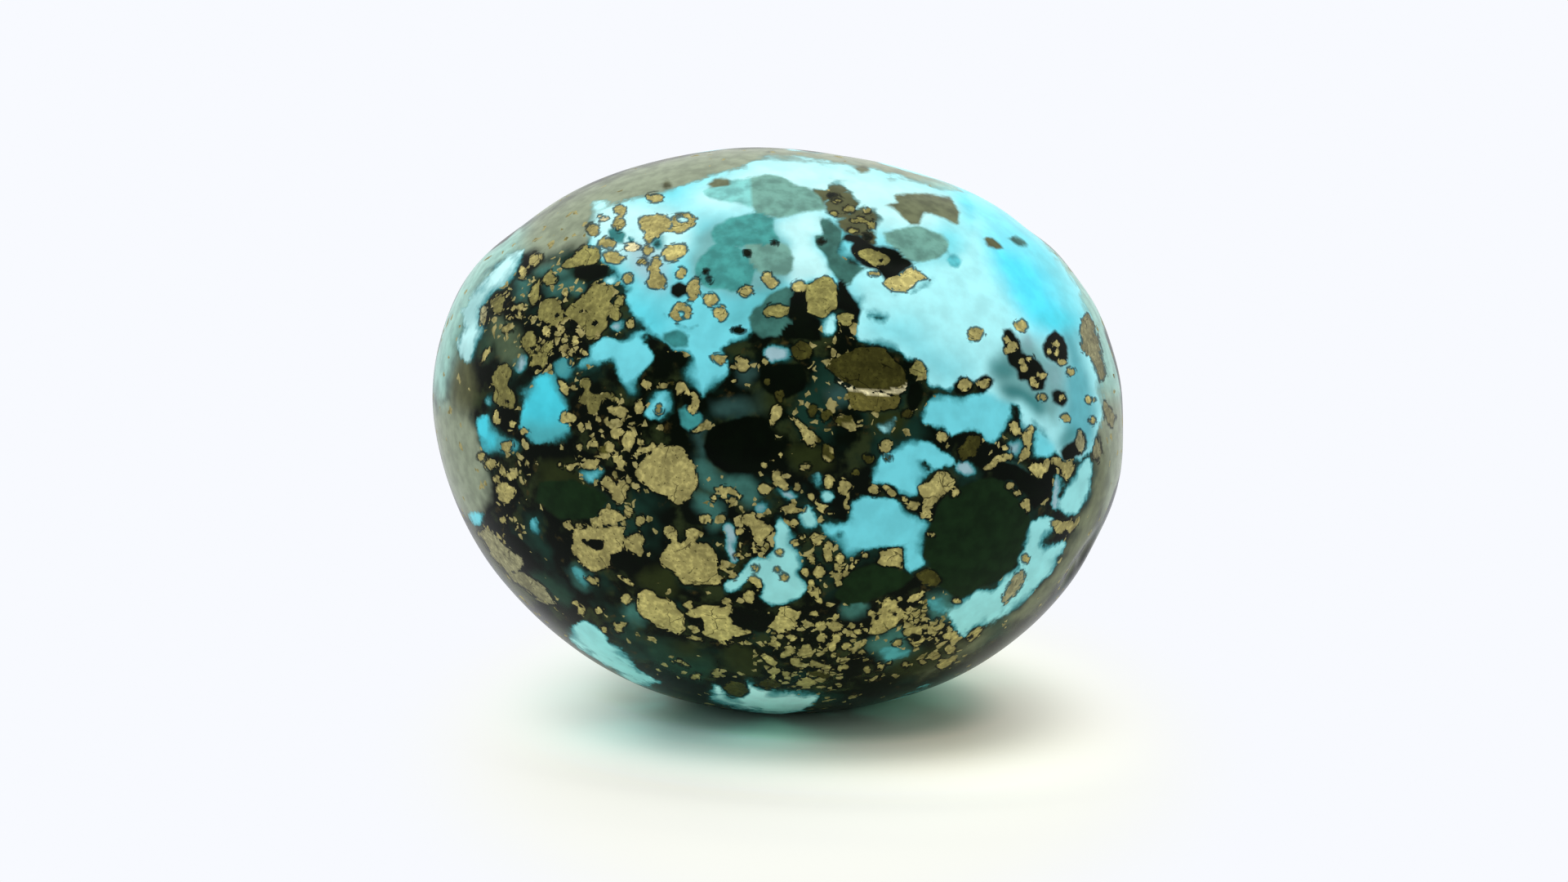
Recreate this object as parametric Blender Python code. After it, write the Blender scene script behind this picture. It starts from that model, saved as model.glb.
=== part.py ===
"""A tumbled turquoise nugget: one closed stone, modelled in Blender at its real size.

Metres, +Z up. The origin is on the surface that the stone rests on, under its middle. The
best side faces -Y. The outline is drawn as the eye sees the stone from there, a little from
above, so the stone is formed square to that line of sight and then tipped upright.
"""

import math

import bmesh
import bpy
import numpy as np
from mathutils import Matrix, Vector, noise

MM = 0.001

# Driving dimensions
DEPTH = 26.0 * MM
SIGHT_TILT = math.radians(12.0)
FOOT_CUT = 0.42 * MM
CELLS_PER_SIDE = 28
STONE_COLOUR = (0.10, 0.50, 0.56, 1.0)
POLISH_ROUGHNESS = 0.28

# The outline along the line of sight, anticlockwise from the right end, as millimetres right
# and up from the middle of the stone. The slopes and keels are its long, nearly straight runs.
OUTLINE_MM = {
    "right_end": [(15.0, 0.05), (14.9, 2.0), (14.5, 3.6), (13.8, 5.4)],
    "right_shoulder": [(12.9, 6.7), (12.15, 7.7), (11.55, 8.25), (10.95, 8.6)],
    "right_slope": [(10.15, 9.25), (8.75, 10.1), (6.6, 10.95), (4.5, 11.6)],
    "crown": [(2.8, 11.9), (1.1, 12.15), (-0.95, 12.25), (-3.2, 12.05)],
    "left_slope": [(-5.45, 11.6), (-7.3, 11.05), (-8.9, 10.35), (-10.1, 9.6)],
    "left_shoulder": [(-11.1, 8.85), (-12.35, 7.9), (-13.5, 6.6), (-14.3, 5.0)],
    "left_end": [(-14.8, 3.2), (-15.0, 1.35), (-14.8, -0.5), (-14.2, -2.6)],
    "left_keel": [(-13.2, -4.75), (-11.7, -6.85), (-10.3, -8.3), (-8.55, -9.7)],
    "foot": [(-6.0, -11.1), (-2.95, -11.95), (-0.1, -12.3), (3.05, -12.1)],
    "right_keel": [(6.25, -11.3), (8.3, -10.4), (10.4, -9.0), (11.95, -7.55)],
    "right_flank": [(13.05, -6.15), (13.8, -4.75), (14.5, -3.3), (14.9, -1.7)],
}
ROUND_HALF_WIDTH = 15.0 * MM
ROUND_HALF_HEIGHT = 12.3 * MM
OUTLINE_FROM = 0.8  # share of the reach past which the form follows the drawn outline fully

# Soft flats worn by tumbling: the way each one faces (across, away, up) and how deep it cuts.
FLATS = {
    "right_shoulder": ((0.62, -0.52, 0.58), 0.25 * MM),
    "left_brow": ((-0.45, -0.80, 0.42), 0.16 * MM),
    "low_front": ((0.30, -0.92, -0.25), 0.14 * MM),
    "back_left_roof": ((-0.55, 0.62, 0.56), 0.45 * MM),
    "back_right": ((0.68, 0.70, 0.20), 0.50 * MM),
    "back": ((-0.20, 0.95, -0.22), 0.35 * MM),
    "back_left_keel": ((-0.72, 0.45, -0.53), 0.40 * MM),
    "roof": ((0.10, 0.30, 0.95), 0.20 * MM),
}
FLAT_EDGE = 0.30 * MM

# Pits and chips: a place on the skin in millimetres (across, away, up), then half length,
# half width and depth in millimetres, and the turn of the long way from level in degrees.
PITS = {
    "chipped_grain": ((4.1, -12.0, 1.8), (2.0, 1.15, 0.32), -7.0),
    "crystal_pocket": ((5.3, -9.6, 6.9), (1.25, 0.62, 0.30), 12.0),
    "edge_slot": ((13.2, -3.0, -5.6), (1.3, 0.45, 0.32), 58.0),
    "back_chip": ((-4.0, 12.0, 3.5), (1.9, 1.2, 0.32), 25.0),
    "back_pocket": ((6.5, 10.2, -2.5), (1.1, 0.8, 0.30), -35.0),
    "roof_pocket": ((-2.0, 5.5, 11.0), (1.2, 0.7, 0.25), 15.0),
}
PIT_WALL = 9.0  # steepness of a pit's side
PIT_RIM = 0.85  # share of the half length or half width at which the side is halfway down

SWELL = 0.12 * MM
SWELL_LENGTH = 9.0 * MM
RIPPLE = 0.03 * MM
RIPPLE_LENGTH = 2.4 * MM


def clear_scene():
    for item in list(bpy.data.objects):
        bpy.data.objects.remove(item)


def outline_reach():
    """The drawn outline as angles and reaches, run on for a turn at each end to close it."""
    points = np.array([point for run in OUTLINE_MM.values() for point in run]) * MM
    angles = np.unwrap(np.arctan2(points[:, 1], points[:, 0]))
    reaches = np.hypot(points[:, 0], points[:, 1])
    turn = 2 * math.pi
    return np.concatenate([angles - turn, angles, angles + turn]), np.tile(reaches, 3)


def smooth_curve(x, knots, values):
    """A cubic curve through the knots, with the slope at each one taken from its neighbours."""
    slopes = np.gradient(values, knots)
    k = np.clip(np.searchsorted(knots, x) - 1, 0, len(knots) - 2)
    width = knots[k + 1] - knots[k]
    t = (x - knots[k]) / width
    between = values[k] * (1 + 2 * t) * (1 - t) ** 2 + values[k + 1] * t * t * (3 - 2 * t)
    lean = slopes[k] * t * (1 - t) ** 2 - slopes[k + 1] * t * t * (1 - t)
    return between + lean * width


def round_form(ways):
    """Each unit way out of the middle carried to the stone's skin: the drawn outline at the
    rim of the form, easing into a plain ellipsoid towards the middle of its front and back."""
    across, away, up = ways.T
    from_axis = np.hypot(across, up)
    angle = np.arctan2(up, across)
    drawn = smooth_curve(angle, *outline_reach())
    plain = 1 / np.hypot(np.cos(angle) / ROUND_HALF_WIDTH, np.sin(angle) / ROUND_HALF_HEIGHT)
    share = np.clip(from_axis / OUTLINE_FROM, 0, 1)
    reach = plain + (drawn - plain) * share**2 * (3 - 2 * share)
    return np.column_stack([reach * across, DEPTH / 2 * away, reach * up])


def wear_flats(points):
    """Bends the skin over to each flat's plane, with a soft edge all round it."""
    for facing, cut in FLATS.values():
        facing = np.array(facing) / np.linalg.norm(facing)
        height = points @ facing
        over = height - (height.max() - cut)
        worn = 0.5 * (over + np.hypot(over, FLAT_EDGE))
        points = points - np.outer(worn, facing)
    return points


def add_swells(points):
    """Low swells and a faint ripple, which tumbling leaves in a stone of mixed hardness."""
    outward = points / np.linalg.norm(points, axis=1)[:, None]
    rise = [
        SWELL * noise.noise(Vector(point) / SWELL_LENGTH)
        + RIPPLE * noise.noise(Vector(point) / RIPPLE_LENGTH)
        for point in points
    ]
    return points + outward * np.array(rise)[:, None]


def sink_pits(points):
    """Sinks each pit straight in from its place, with a steep side and a flat floor."""
    for place, (length, width, depth), turn in PITS.values():
        inward = -np.array(place) / np.linalg.norm(place)
        level = np.cross((0, 0, 1.0), -inward)
        level /= np.linalg.norm(level)
        steep = np.cross(-inward, level)
        cos, sin = math.cos(math.radians(turn)), math.sin(math.radians(turn))
        along = points @ (level * cos + steep * sin) / (length * MM)
        beside = points @ (steep * cos - level * sin) / (width * MM)
        floor = 1 / (1 + np.exp((np.hypot(along, beside) - PIT_RIM) * PIT_WALL))
        this_side = points @ inward < 0
        points = points + np.outer(floor * this_side * depth * MM, inward)
    return points


def stand_up(points):
    """Tips the stone upright, flattens its foot and rests the foot on the origin's plane."""
    tip = np.array(Matrix.Rotation(-SIGHT_TILT, 3, "X"))
    points = points @ tip.T
    foot = points[:, 2].min() + FOOT_CUT
    points[:, 2] = np.maximum(points[:, 2], foot)
    low, high = points.min(axis=0), points.max(axis=0)
    return points - [(low[0] + high[0]) / 2, (low[1] + high[1]) / 2, foot]


def stone_material():
    material = bpy.data.materials.new("turquoise_in_matrix")
    material.use_nodes = True
    shader = material.node_tree.nodes["Principled BSDF"]
    shader.inputs["Base Color"].default_value = STONE_COLOUR
    shader.inputs["Roughness"].default_value = POLISH_ROUGHNESS
    return material


def even_ball():
    """A cube cut into an even grid on every side and blown up to a ball."""
    form = bmesh.new()
    bmesh.ops.create_cube(form, size=2.0)
    cuts = CELLS_PER_SIDE - 1
    bmesh.ops.subdivide_edges(form, edges=form.edges[:], cuts=cuts, use_grid_fill=True)
    for vertex in form.verts:
        # The tangent spaces the grid evenly in angle and not along the cube's side.
        vertex.co = Vector([math.tan(c * math.pi / 4) for c in vertex.co]).normalized()
    return form


def make_nugget():
    form = even_ball()
    ways = np.array([vertex.co for vertex in form.verts])
    points = stand_up(sink_pits(add_swells(wear_flats(round_form(ways)))))
    for vertex, point in zip(form.verts, points):
        vertex.co = point
    bmesh.ops.recalc_face_normals(form, faces=form.faces)
    mesh = bpy.data.meshes.new("nugget")
    form.to_mesh(mesh)
    form.free()
    mesh.shade_smooth()
    mesh.materials.append(stone_material())
    bpy.context.scene.collection.objects.link(bpy.data.objects.new("nugget", mesh))


clear_scene()
make_nugget()
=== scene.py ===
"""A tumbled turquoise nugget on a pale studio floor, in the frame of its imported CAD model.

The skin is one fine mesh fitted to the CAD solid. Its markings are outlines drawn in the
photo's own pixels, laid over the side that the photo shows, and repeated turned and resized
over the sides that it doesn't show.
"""

import math

import bpy
import numpy as np
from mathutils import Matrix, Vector, noise


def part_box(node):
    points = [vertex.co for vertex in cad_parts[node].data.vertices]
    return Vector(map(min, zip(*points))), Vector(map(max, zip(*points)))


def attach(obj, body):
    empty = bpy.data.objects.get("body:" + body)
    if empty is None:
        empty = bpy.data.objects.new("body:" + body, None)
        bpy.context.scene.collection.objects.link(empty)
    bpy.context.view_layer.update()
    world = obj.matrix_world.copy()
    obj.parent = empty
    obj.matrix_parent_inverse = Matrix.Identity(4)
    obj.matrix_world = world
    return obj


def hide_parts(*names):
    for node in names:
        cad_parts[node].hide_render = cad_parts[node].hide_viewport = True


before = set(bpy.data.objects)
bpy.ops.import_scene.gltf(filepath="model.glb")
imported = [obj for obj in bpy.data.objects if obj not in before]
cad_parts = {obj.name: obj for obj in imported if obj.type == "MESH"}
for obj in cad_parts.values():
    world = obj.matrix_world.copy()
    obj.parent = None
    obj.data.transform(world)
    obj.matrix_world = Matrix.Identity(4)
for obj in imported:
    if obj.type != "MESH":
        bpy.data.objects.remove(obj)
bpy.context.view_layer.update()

MM = 0.001

# The camera: square to the sight line that the photo was taken along, 12 degrees above level.
SIGHT_TILT = math.radians(12.0)
LENS_MM = 100.0
SENSOR_MM = 36.0
CAMERA_DISTANCE = 189.0 * MM
STONE_MIDDLE = np.array((0.044, -0.021, 11.903)) * MM
PHOTO_SIZE = (1920, 1080)
STONE_MIDDLE_PX = (953.5, 526.5)
FOCAL_PX = PHOTO_SIZE[0] * LENS_MM / SENSOR_MM
PX_PER_MM = FOCAL_PX / (CAMERA_DISTANCE / MM)
AWAY = np.array((0, -math.cos(SIGHT_TILT), math.sin(SIGHT_TILT)))
UP = np.array((0, math.sin(SIGHT_TILT), math.cos(SIGHT_TILT)))
ACROSS = np.array((1.0, 0, 0))

# Colours as sRGB hex: given, then tuned until spots of the render came close to the photo's.
BLUES = {
    "pale": "#AEF6F8",
    "ice": "#C6FAF8",
    "mid": "#74DAE4",
    "soft": "#97E0DE",
    "deep": "#4CD6E6",
    "sky": "#4BE6FF",
    "lilac": "#9CBFC6",
    "teal": "#4FA3A5",
    "dark_teal": "#2F7C7C",
    "sea_grey": "#74ACAA",
    "column": "#62B4BC",
}
GRAIN_COLOURS = {
    "pyrite": "#B1A768",
    "dim_pyrite": "#8D884E",
    # Painted highlight: the chipped grain's lit ledge and small bright spots high on the stone.
    "painted_highlight": "#DDD4A6",
    "face": "#6E6832",
    "brown": "#4A481E",
    "pale_rim_pyrite": "#9A9770",
    "dark": "#0C1408",
}
CRYSTAL_COLOURS = {
    "black": "#030A02",
    "bottle": "#142A12",
    "teal": "#3E908E",
    "sky_dot": "#5ABCC4",
    "sea": "#489F99",
    "light_sea": "#7CC5BF",
    "grey_teal": "#6FA193",
    "slate": "#3C6E64",
    "brown": "#555839",
    "khaki": "#6E7556",
    # These three pale greys are painted sheen: the pale surround reflected on the rim.
    "painted_sheen_grey": "#8D987F",
    "painted_sheen_pale": "#98C8BA",
    "painted_sheen_green": "#6D9D8D",
    "deep_slate": "#1C3B2C",
    "dusk": "#2D4B46",
    "grey_green": "#4E5E45",
    "dark_olive": "#262E12",
}

# Pyrite grains, as outlines in the photo's pixels.
GRAINS = {
    "pyrite": {
        "great": [(778, 576), (783, 570), (790, 563), (797, 555), (803, 548), (812, 547), (822, 545),
            (832, 545), (838, 550), (842, 557), (848, 565), (852, 575), (855, 590), (850, 602), (846, 608),
            (838, 615), (832, 620), (826, 617), (818, 609), (808, 607), (800, 603), (793, 597), (785, 590),
            (779, 584)],
        "cracked": [(703, 650), (705, 642), (715, 642), (722, 646), (735, 647), (750, 646), (762, 645),
            (765, 652), (764, 668), (762, 677), (748, 678), (748, 686), (750, 694), (740, 697), (730, 700),
            (720, 698), (712, 690), (705, 682), (700, 675), (702, 662)],
        "cracked_cap": [(725, 643), (732, 634), (738, 626), (748, 623), (758, 628), (766, 635), (760, 640),
            (748, 644), (735, 645)],
        "cracked_right": [(767, 662), (775, 655), (782, 652), (788, 660), (786, 666), (790, 674),
            (785, 682), (775, 678), (766, 675)],
        "cracked_chip": [(690, 641), (697, 638), (702, 648), (697, 652)],
        "heart": [(813, 652), (815, 645), (822, 645), (829, 652), (830, 662), (836, 668), (842, 660),
            (840, 650), (845, 646), (855, 648), (857, 660), (860, 668), (866, 664), (874, 672), (877, 680),
            (880, 700), (884, 715), (870, 716), (855, 717), (838, 719), (832, 712), (828, 703), (820, 700),
            (812, 695), (808, 685), (811, 678), (818, 672), (822, 662)],
        "stair": [(781, 738), (783, 728), (790, 724), (800, 726), (808, 733), (815, 733), (822, 736),
            (830, 745), (838, 752), (838, 770), (830, 778), (822, 774), (812, 768), (800, 762), (788, 755),
            (781, 748)],
        "boot": [(841, 752), (848, 746), (860, 743), (875, 744), (890, 742), (898, 739), (897, 750),
            (893, 757), (898, 765), (908, 772), (920, 775), (912, 778), (900, 780), (890, 784), (885, 789),
            (878, 783), (868, 780), (861, 778), (861, 765), (858, 757), (848, 755)],
        "low_knot": [(940, 768), (948, 760), (952, 750), (957, 744), (965, 743), (975, 747), (981, 750),
            (978, 755), (975, 765), (970, 772), (962, 772), (955, 778), (950, 770)],
        "low_tooth": [(1067, 770), (1068, 758), (1075, 750), (1080, 744), (1080, 738), (1088, 731),
            (1097, 738), (1103, 746), (1112, 757), (1105, 760), (1098, 768), (1088, 772), (1080, 775),
            (1070, 777), (1066, 774)],
        "block": [(1077, 678), (1085, 675), (1104, 673), (1104, 696), (1090, 696), (1080, 692), (1075, 690),
            (1078, 686), (1082, 682)],
        "claw": [(1126, 597), (1135, 592), (1142, 585), (1150, 578), (1160, 580), (1170, 590), (1168, 597),
            (1162, 600), (1155, 606), (1148, 612), (1142, 622), (1143, 632), (1140, 638), (1130, 635),
            (1128, 622), (1133, 612), (1128, 605)],
        "claw_chip": [(1165, 610), (1168, 603), (1174, 599), (1175, 603), (1170, 609)],
        "pocket_foot": [(1083, 346), (1090, 341), (1098, 340), (1105, 335), (1112, 328), (1120, 325),
            (1120, 333), (1130, 336), (1138, 343), (1125, 345), (1118, 352), (1110, 357), (1095, 357),
            (1087, 352)],
        "left_top_leaf": [(648, 318), (655, 312), (664, 310), (662, 318), (655, 326), (648, 326)],
        "left_sliver": [(636, 343), (642, 330), (646, 328), (645, 338), (640, 344)],
        "roof_wing_bit": [(738, 310), (748, 308), (760, 312), (766, 318), (755, 325), (742, 322)],
        "crest": [(783, 270), (790, 265), (800, 263), (812, 264), (820, 268), (823, 278), (815, 284),
            (806, 290), (800, 294), (795, 299), (790, 294), (790, 285), (786, 280)],
        "crest_right": [(824, 265), (832, 262), (845, 262), (852, 268), (850, 276), (842, 279), (835, 285),
            (822, 285), (820, 282), (824, 276)],
        "under_crest": [(811, 308), (816, 303), (826, 301), (840, 300), (841, 308), (836, 315), (826, 320),
            (815, 320)],
        "pendant": [(798, 325), (802, 316), (808, 316), (810, 322), (806, 330), (812, 338), (816, 345),
            (814, 352), (802, 354), (793, 352), (792, 345), (797, 338), (795, 330)],
        "left_rib_low": [(604, 508), (608, 502), (613, 506), (613, 518), (607, 520)],
        "left_edge_tail": [(587, 445), (592, 435), (597, 427), (600, 428), (596, 438), (590, 446)],
        "thumb": [(737, 590), (742, 583), (748, 586), (752, 592), (757, 594), (762, 591), (770, 593),
            (774, 597), (770, 602), (766, 606), (768, 612), (762, 617), (755, 618), (750, 612), (747, 605),
            (742, 600), (737, 597)],
        "left_low": [(607, 595), (613, 590), (622, 592), (630, 595), (632, 602), (630, 608), (626, 615),
            (618, 616), (611, 612), (609, 604)],
        "mid_spur": [(906, 635), (915, 630), (924, 628), (927, 637), (935, 640), (941, 643), (946, 648),
            (942, 655), (935, 660), (930, 667), (925, 665), (922, 655), (918, 645), (910, 642)],
        "fan": [(745, 500), (755, 497), (764, 500), (769, 505), (768, 515), (760, 513), (752, 508),
            (746, 505)],
        "fan_low": [(764, 533), (768, 528), (775, 527), (779, 533), (778, 543), (774, 550), (768, 553),
            (763, 548), (761, 541)],
        "fan_mid": [(748, 530), (752, 525), (760, 524), (763, 526), (761, 533), (756, 538), (750, 536)],
        "fan_foot": [(752, 560), (757, 555), (762, 559), (765, 566), (762, 574), (757, 572), (753, 566)],
        "fan_left": [(715, 567), (720, 562), (728, 563), (735, 566), (732, 573), (722, 574), (716, 572)],
        "fan_wedge": [(770, 563), (778, 555), (785, 549), (795, 547), (799, 543), (801, 548), (793, 553),
            (783, 557)],
        "fan_top": [(775, 500), (780, 494), (785, 490), (789, 498), (786, 507), (780, 508)],
        "fan_far": [(684, 512), (690, 506), (697, 503), (702, 507), (708, 512), (703, 518), (695, 520),
            (687, 518)],
        "fan_crown": [(683, 467), (690, 467), (697, 475), (695, 484), (688, 478)],
        "fan_bar": [(722, 559), (735, 557), (744, 557), (744, 563), (730, 563)],
        "mid_bit": [(948, 500), (955, 496), (960, 500), (958, 512), (950, 518), (946, 524), (944, 512)],
        "mid_band": [(967, 510), (975, 513), (985, 520), (995, 528), (1000, 535), (998, 545), (990, 549),
            (985, 540), (983, 530), (975, 522)],
        "right_peg": [(1235, 520), (1240, 515), (1248, 516), (1250, 533), (1243, 537), (1238, 530)],
        "right_peg_two": [(1253, 535), (1258, 527), (1264, 520), (1267, 526), (1264, 540), (1260, 550),
            (1254, 545)],
        "right_peg_three": [(1248, 560), (1250, 552), (1256, 545), (1260, 555), (1258, 565)],
        "right_star": [(1258, 573), (1264, 570), (1268, 565), (1277, 570), (1285, 575), (1280, 582),
            (1274, 588), (1268, 582)],
        "right_wedge": [(1288, 562), (1295, 558), (1303, 566), (1315, 562), (1315, 572), (1312, 580),
            (1306, 588), (1300, 582), (1298, 572), (1290, 570)],
        "right_low": [(1250, 618), (1255, 612), (1261, 613), (1262, 625), (1257, 629)],
        "right_flat": [(1287, 640), (1295, 637), (1305, 640), (1315, 638), (1318, 645), (1310, 652),
            (1303, 648), (1298, 655), (1290, 652)],
        "centre_arrow": [(1024, 518), (1030, 508), (1040, 512), (1050, 518), (1052, 525), (1045, 530),
            (1035, 526)],
        "centre_left": [(1010, 555), (1015, 547), (1022, 550), (1022, 560), (1016, 567), (1009, 563)],
        "centre_right": [(1077, 545), (1083, 539), (1092, 541), (1092, 550), (1085, 557), (1078, 553)],
        "centre_low": [(1008, 588), (1013, 583), (1020, 587), (1021, 597), (1013, 600), (1008, 596)],
        "centre_low_two": [(1025, 590), (1032, 586), (1040, 590), (1045, 597), (1040, 602), (1040, 609),
            (1030, 608), (1028, 600)],
        "centre_beak": [(878, 598), (890, 596), (900, 600), (908, 608), (905, 612), (897, 607), (890, 605),
            (888, 612), (883, 605)],
        "centre_bean": [(947, 578), (955, 575), (960, 580), (957, 586), (963, 592), (968, 597), (962, 602),
            (955, 600), (950, 595), (945, 588)],
        "centre_bean_two": [(929, 598), (936, 593), (942, 597), (947, 600), (940, 606), (933, 605)],
        "centre_bar": [(953, 624), (960, 620), (968, 618), (978, 622), (987, 622), (985, 628), (975, 631),
            (965, 628)],
        "centre_nail": [(997, 617), (1006, 617), (1018, 618), (1012, 624), (1010, 629), (1003, 625)],
        "centre_bit": [(988, 608), (992, 602), (998, 607), (999, 614), (993, 616)],
        "step": [(1063, 600), (1068, 596), (1076, 597), (1078, 605), (1070, 609)],
        "step_two": [(1080, 594), (1086, 594), (1093, 600), (1098, 605), (1094, 609), (1087, 603)],
        "step_three": [(1111, 621), (1117, 614), (1125, 616), (1125, 626), (1118, 628)],
        "lower_chain": [(992, 660), (998, 655), (1006, 658), (1006, 667), (998, 669)],
        "lower_chain_two": [(1008, 668), (1013, 663), (1019, 667), (1019, 680), (1020, 688), (1013, 690),
            (1009, 680)],
        "lower_chain_three": [(1024, 683), (1030, 677), (1035, 682), (1034, 690), (1027, 690)],
        "lower_chain_four": [(999, 698), (1006, 692), (1011, 696), (1012, 704), (1005, 710), (998, 706)],
        "lower_chain_five": [(1016, 703), (1023, 701), (1030, 708), (1025, 711)],
        "lower_chain_six": [(992, 727), (998, 722), (1003, 720), (1004, 732), (1006, 740), (1000, 737)],
        "lower_stroke": [(1040, 696), (1046, 686), (1053, 682), (1055, 686), (1048, 694), (1043, 698)],
        "ear": [(917, 707), (925, 706), (931, 712), (932, 720), (927, 723), (923, 716)],
        "ear_low": [(909, 733), (916, 723), (924, 727), (925, 737), (918, 740), (912, 738)],
        "crescent": [(842, 481), (850, 479), (857, 486), (858, 497), (855, 505), (846, 506), (842, 500),
            (848, 496), (850, 490), (845, 486)],
        "crescent_left": [(827, 470), (832, 467), (838, 470), (841, 478), (836, 483), (828, 488)],
        "upper_oval": [(842, 348), (850, 340), (858, 343), (857, 352), (856, 362), (852, 369), (843, 368),
            (841, 358)],
        "brow": [(871, 436), (880, 435), (892, 438), (888, 444), (883, 448), (877, 444)],
        "brow_two": [(901, 440), (908, 437), (916, 442), (920, 448), (914, 454), (907, 454), (903, 447)],
        "brow_low": [(847, 528), (853, 524), (862, 521), (863, 525), (855, 530)],
        "base_one": [(932, 803), (940, 800), (948, 805), (952, 812), (948, 815), (940, 811)],
        "base_two": [(980, 797), (984, 790), (991, 790), (995, 796), (999, 800), (995, 806), (985, 807),
            (979, 802)],
        "base_three": [(933, 791), (940, 787), (947, 785), (955, 790), (953, 797), (948, 793)],
        "base_four": [(963, 781), (970, 777), (977, 780), (972, 785), (966, 785)],
        "base_five": [(988, 753), (995, 748), (1001, 748), (1001, 757)],
        "base_six": [(1011, 765), (1018, 760), (1028, 762), (1035, 765), (1030, 770), (1022, 773),
            (1015, 768)],
        "base_seven": [(997, 770), (1001, 762), (1006, 760), (1012, 770), (1008, 774), (1000, 774)],
        "base_eight": [(839, 781), (850, 779), (858, 780), (861, 785), (850, 786)],
        "base_nine": [(836, 741), (842, 737), (849, 737), (848, 742), (843, 747)],
        "base_ten": [(970, 841), (978, 835), (985, 829), (993, 830), (1000, 836), (995, 841), (985, 843)],
        "base_eleven": [(823, 811), (832, 808), (840, 812), (846, 817), (838, 816)],
        "base_twelve": [(957, 824), (962, 822), (968, 825), (965, 829), (958, 828)],
        "speck_right": [(1205, 576), (1212, 568), (1220, 560), (1232, 554), (1240, 558), (1237, 564),
            (1225, 566), (1215, 576)],
        "base_pale": [(990, 815), (995, 809), (1005, 812), (1017, 816), (1016, 819), (1002, 819)],
        "keel_one": [(1106, 775), (1115, 767), (1125, 766), (1130, 772), (1129, 781), (1120, 778),
            (1112, 779)],
        "keel_two": [(1112, 737), (1116, 731), (1125, 726), (1133, 724), (1134, 730), (1126, 735),
            (1118, 740)],
        "keel_three": [(1155, 780), (1163, 775), (1172, 774), (1175, 778), (1168, 786), (1158, 784)],
        "keel_four": [(1183, 783), (1187, 776), (1198, 770), (1203, 770), (1196, 778), (1188, 786)],
        "keel_five": [(1148, 816), (1152, 809), (1163, 807), (1170, 808), (1165, 816), (1155, 820)],
        "keel_six": [(1138, 770), (1145, 765), (1150, 776), (1142, 777)],
        "keel_seven": [(1117, 786), (1124, 786), (1132, 782), (1130, 788), (1122, 792)],
        "keel_eight": [(1109, 783), (1114, 780), (1121, 782), (1117, 787)],
        "keel_nine": [(1093, 788), (1099, 784), (1106, 784), (1102, 791), (1095, 791)],
        "keel_ten": [(1116, 752), (1120, 747), (1127, 750), (1124, 757), (1117, 757)],
        "gully_one": [(758, 732), (763, 727), (773, 728), (774, 735), (766, 740)],
        "gully_two": [(751, 765), (758, 763), (767, 763), (763, 770), (765, 775), (755, 773)],
        "gully_three": [(715, 708), (722, 705), (732, 710), (733, 718), (725, 717)],
        "gully_four": [(757, 705), (765, 705), (772, 712), (777, 718), (768, 715)],
    },
    # Darker pyrite, on grains that lie mostly high on the stone's left.
    "dim_pyrite": {
        "roof_wing": [(688, 328), (690, 320), (700, 316), (703, 312), (716, 302), (730, 305), (735, 315),
            (728, 322), (712, 325), (700, 328)],
        "left_tower": [(700, 375), (712, 365), (720, 355), (730, 345), (742, 349), (752, 356), (748, 370),
            (745, 376), (743, 400), (735, 412), (722, 418), (714, 402), (694, 388), (693, 382)],
        "left_tower_bit": [(752, 368), (760, 361), (766, 364), (764, 374), (756, 380), (750, 378)],
        "left_tower_low": [(745, 380), (755, 378), (760, 386), (755, 392), (746, 390)],
        "left_block": [(660, 372), (668, 366), (680, 365), (686, 370), (690, 382), (690, 392), (680, 399),
            (672, 398), (658, 390), (660, 380)],
        "left_leaf": [(648, 368), (650, 355), (656, 347), (661, 341), (662, 352), (662, 365), (655, 373),
            (650, 375)],
        "left_cap": [(664, 345), (668, 338), (676, 333), (682, 340), (680, 346), (670, 349)],
        "upper_shield": [(988, 352), (998, 345), (1008, 340), (1018, 342), (1023, 350), (1026, 377),
            (1008, 390), (989, 383)],
        "upper_low_left": [(936, 380), (942, 374), (955, 373), (966, 376), (964, 388), (950, 390),
            (938, 388)],
        "upper_low_right": [(1026, 388), (1035, 384), (1045, 388), (1043, 398), (1035, 402), (1028, 400)],
        "right_side": [(1113, 452), (1118, 446), (1122, 441), (1130, 444), (1135, 452), (1130, 460),
            (1122, 461), (1115, 458)],
        "cluster": [(638, 415), (645, 407), (652, 405), (658, 412), (656, 422), (662, 430), (668, 420),
            (675, 418), (678, 426), (672, 435), (670, 445), (665, 458), (661, 448), (655, 450), (648, 450),
            (652, 438), (645, 430), (640, 425)],
        "zigzag": [(712, 465), (718, 463), (725, 465), (725, 472), (722, 478), (728, 482), (738, 482),
            (746, 480), (752, 487), (751, 493), (745, 490), (740, 488), (737, 495), (735, 503), (728, 508),
            (721, 511), (719, 503), (717, 495), (709, 493), (711, 485), (716, 478), (711, 472)],
        "left_rib": [(601, 462), (608, 455), (612, 448), (620, 445), (627, 452), (626, 462), (622, 472),
            (628, 480), (631, 490), (628, 500), (620, 500), (610, 498), (604, 490), (606, 478), (602, 470)],
        "left_edge_grain": [(601, 370), (608, 362), (617, 361), (619, 372), (618, 380), (612, 385),
            (603, 382)],
        "pocket_side": [(1048, 312), (1055, 306), (1063, 303), (1072, 306), (1082, 312), (1090, 318),
            (1085, 325), (1078, 328), (1070, 325), (1062, 320), (1055, 318)],
    },
    "brown": {
        "chipped": [(1013, 452), (1020, 440), (1035, 432), (1050, 428), (1065, 426), (1075, 424),
            (1085, 428), (1092, 436), (1095, 444), (1105, 448), (1110, 457), (1110, 470), (1103, 476),
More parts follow.
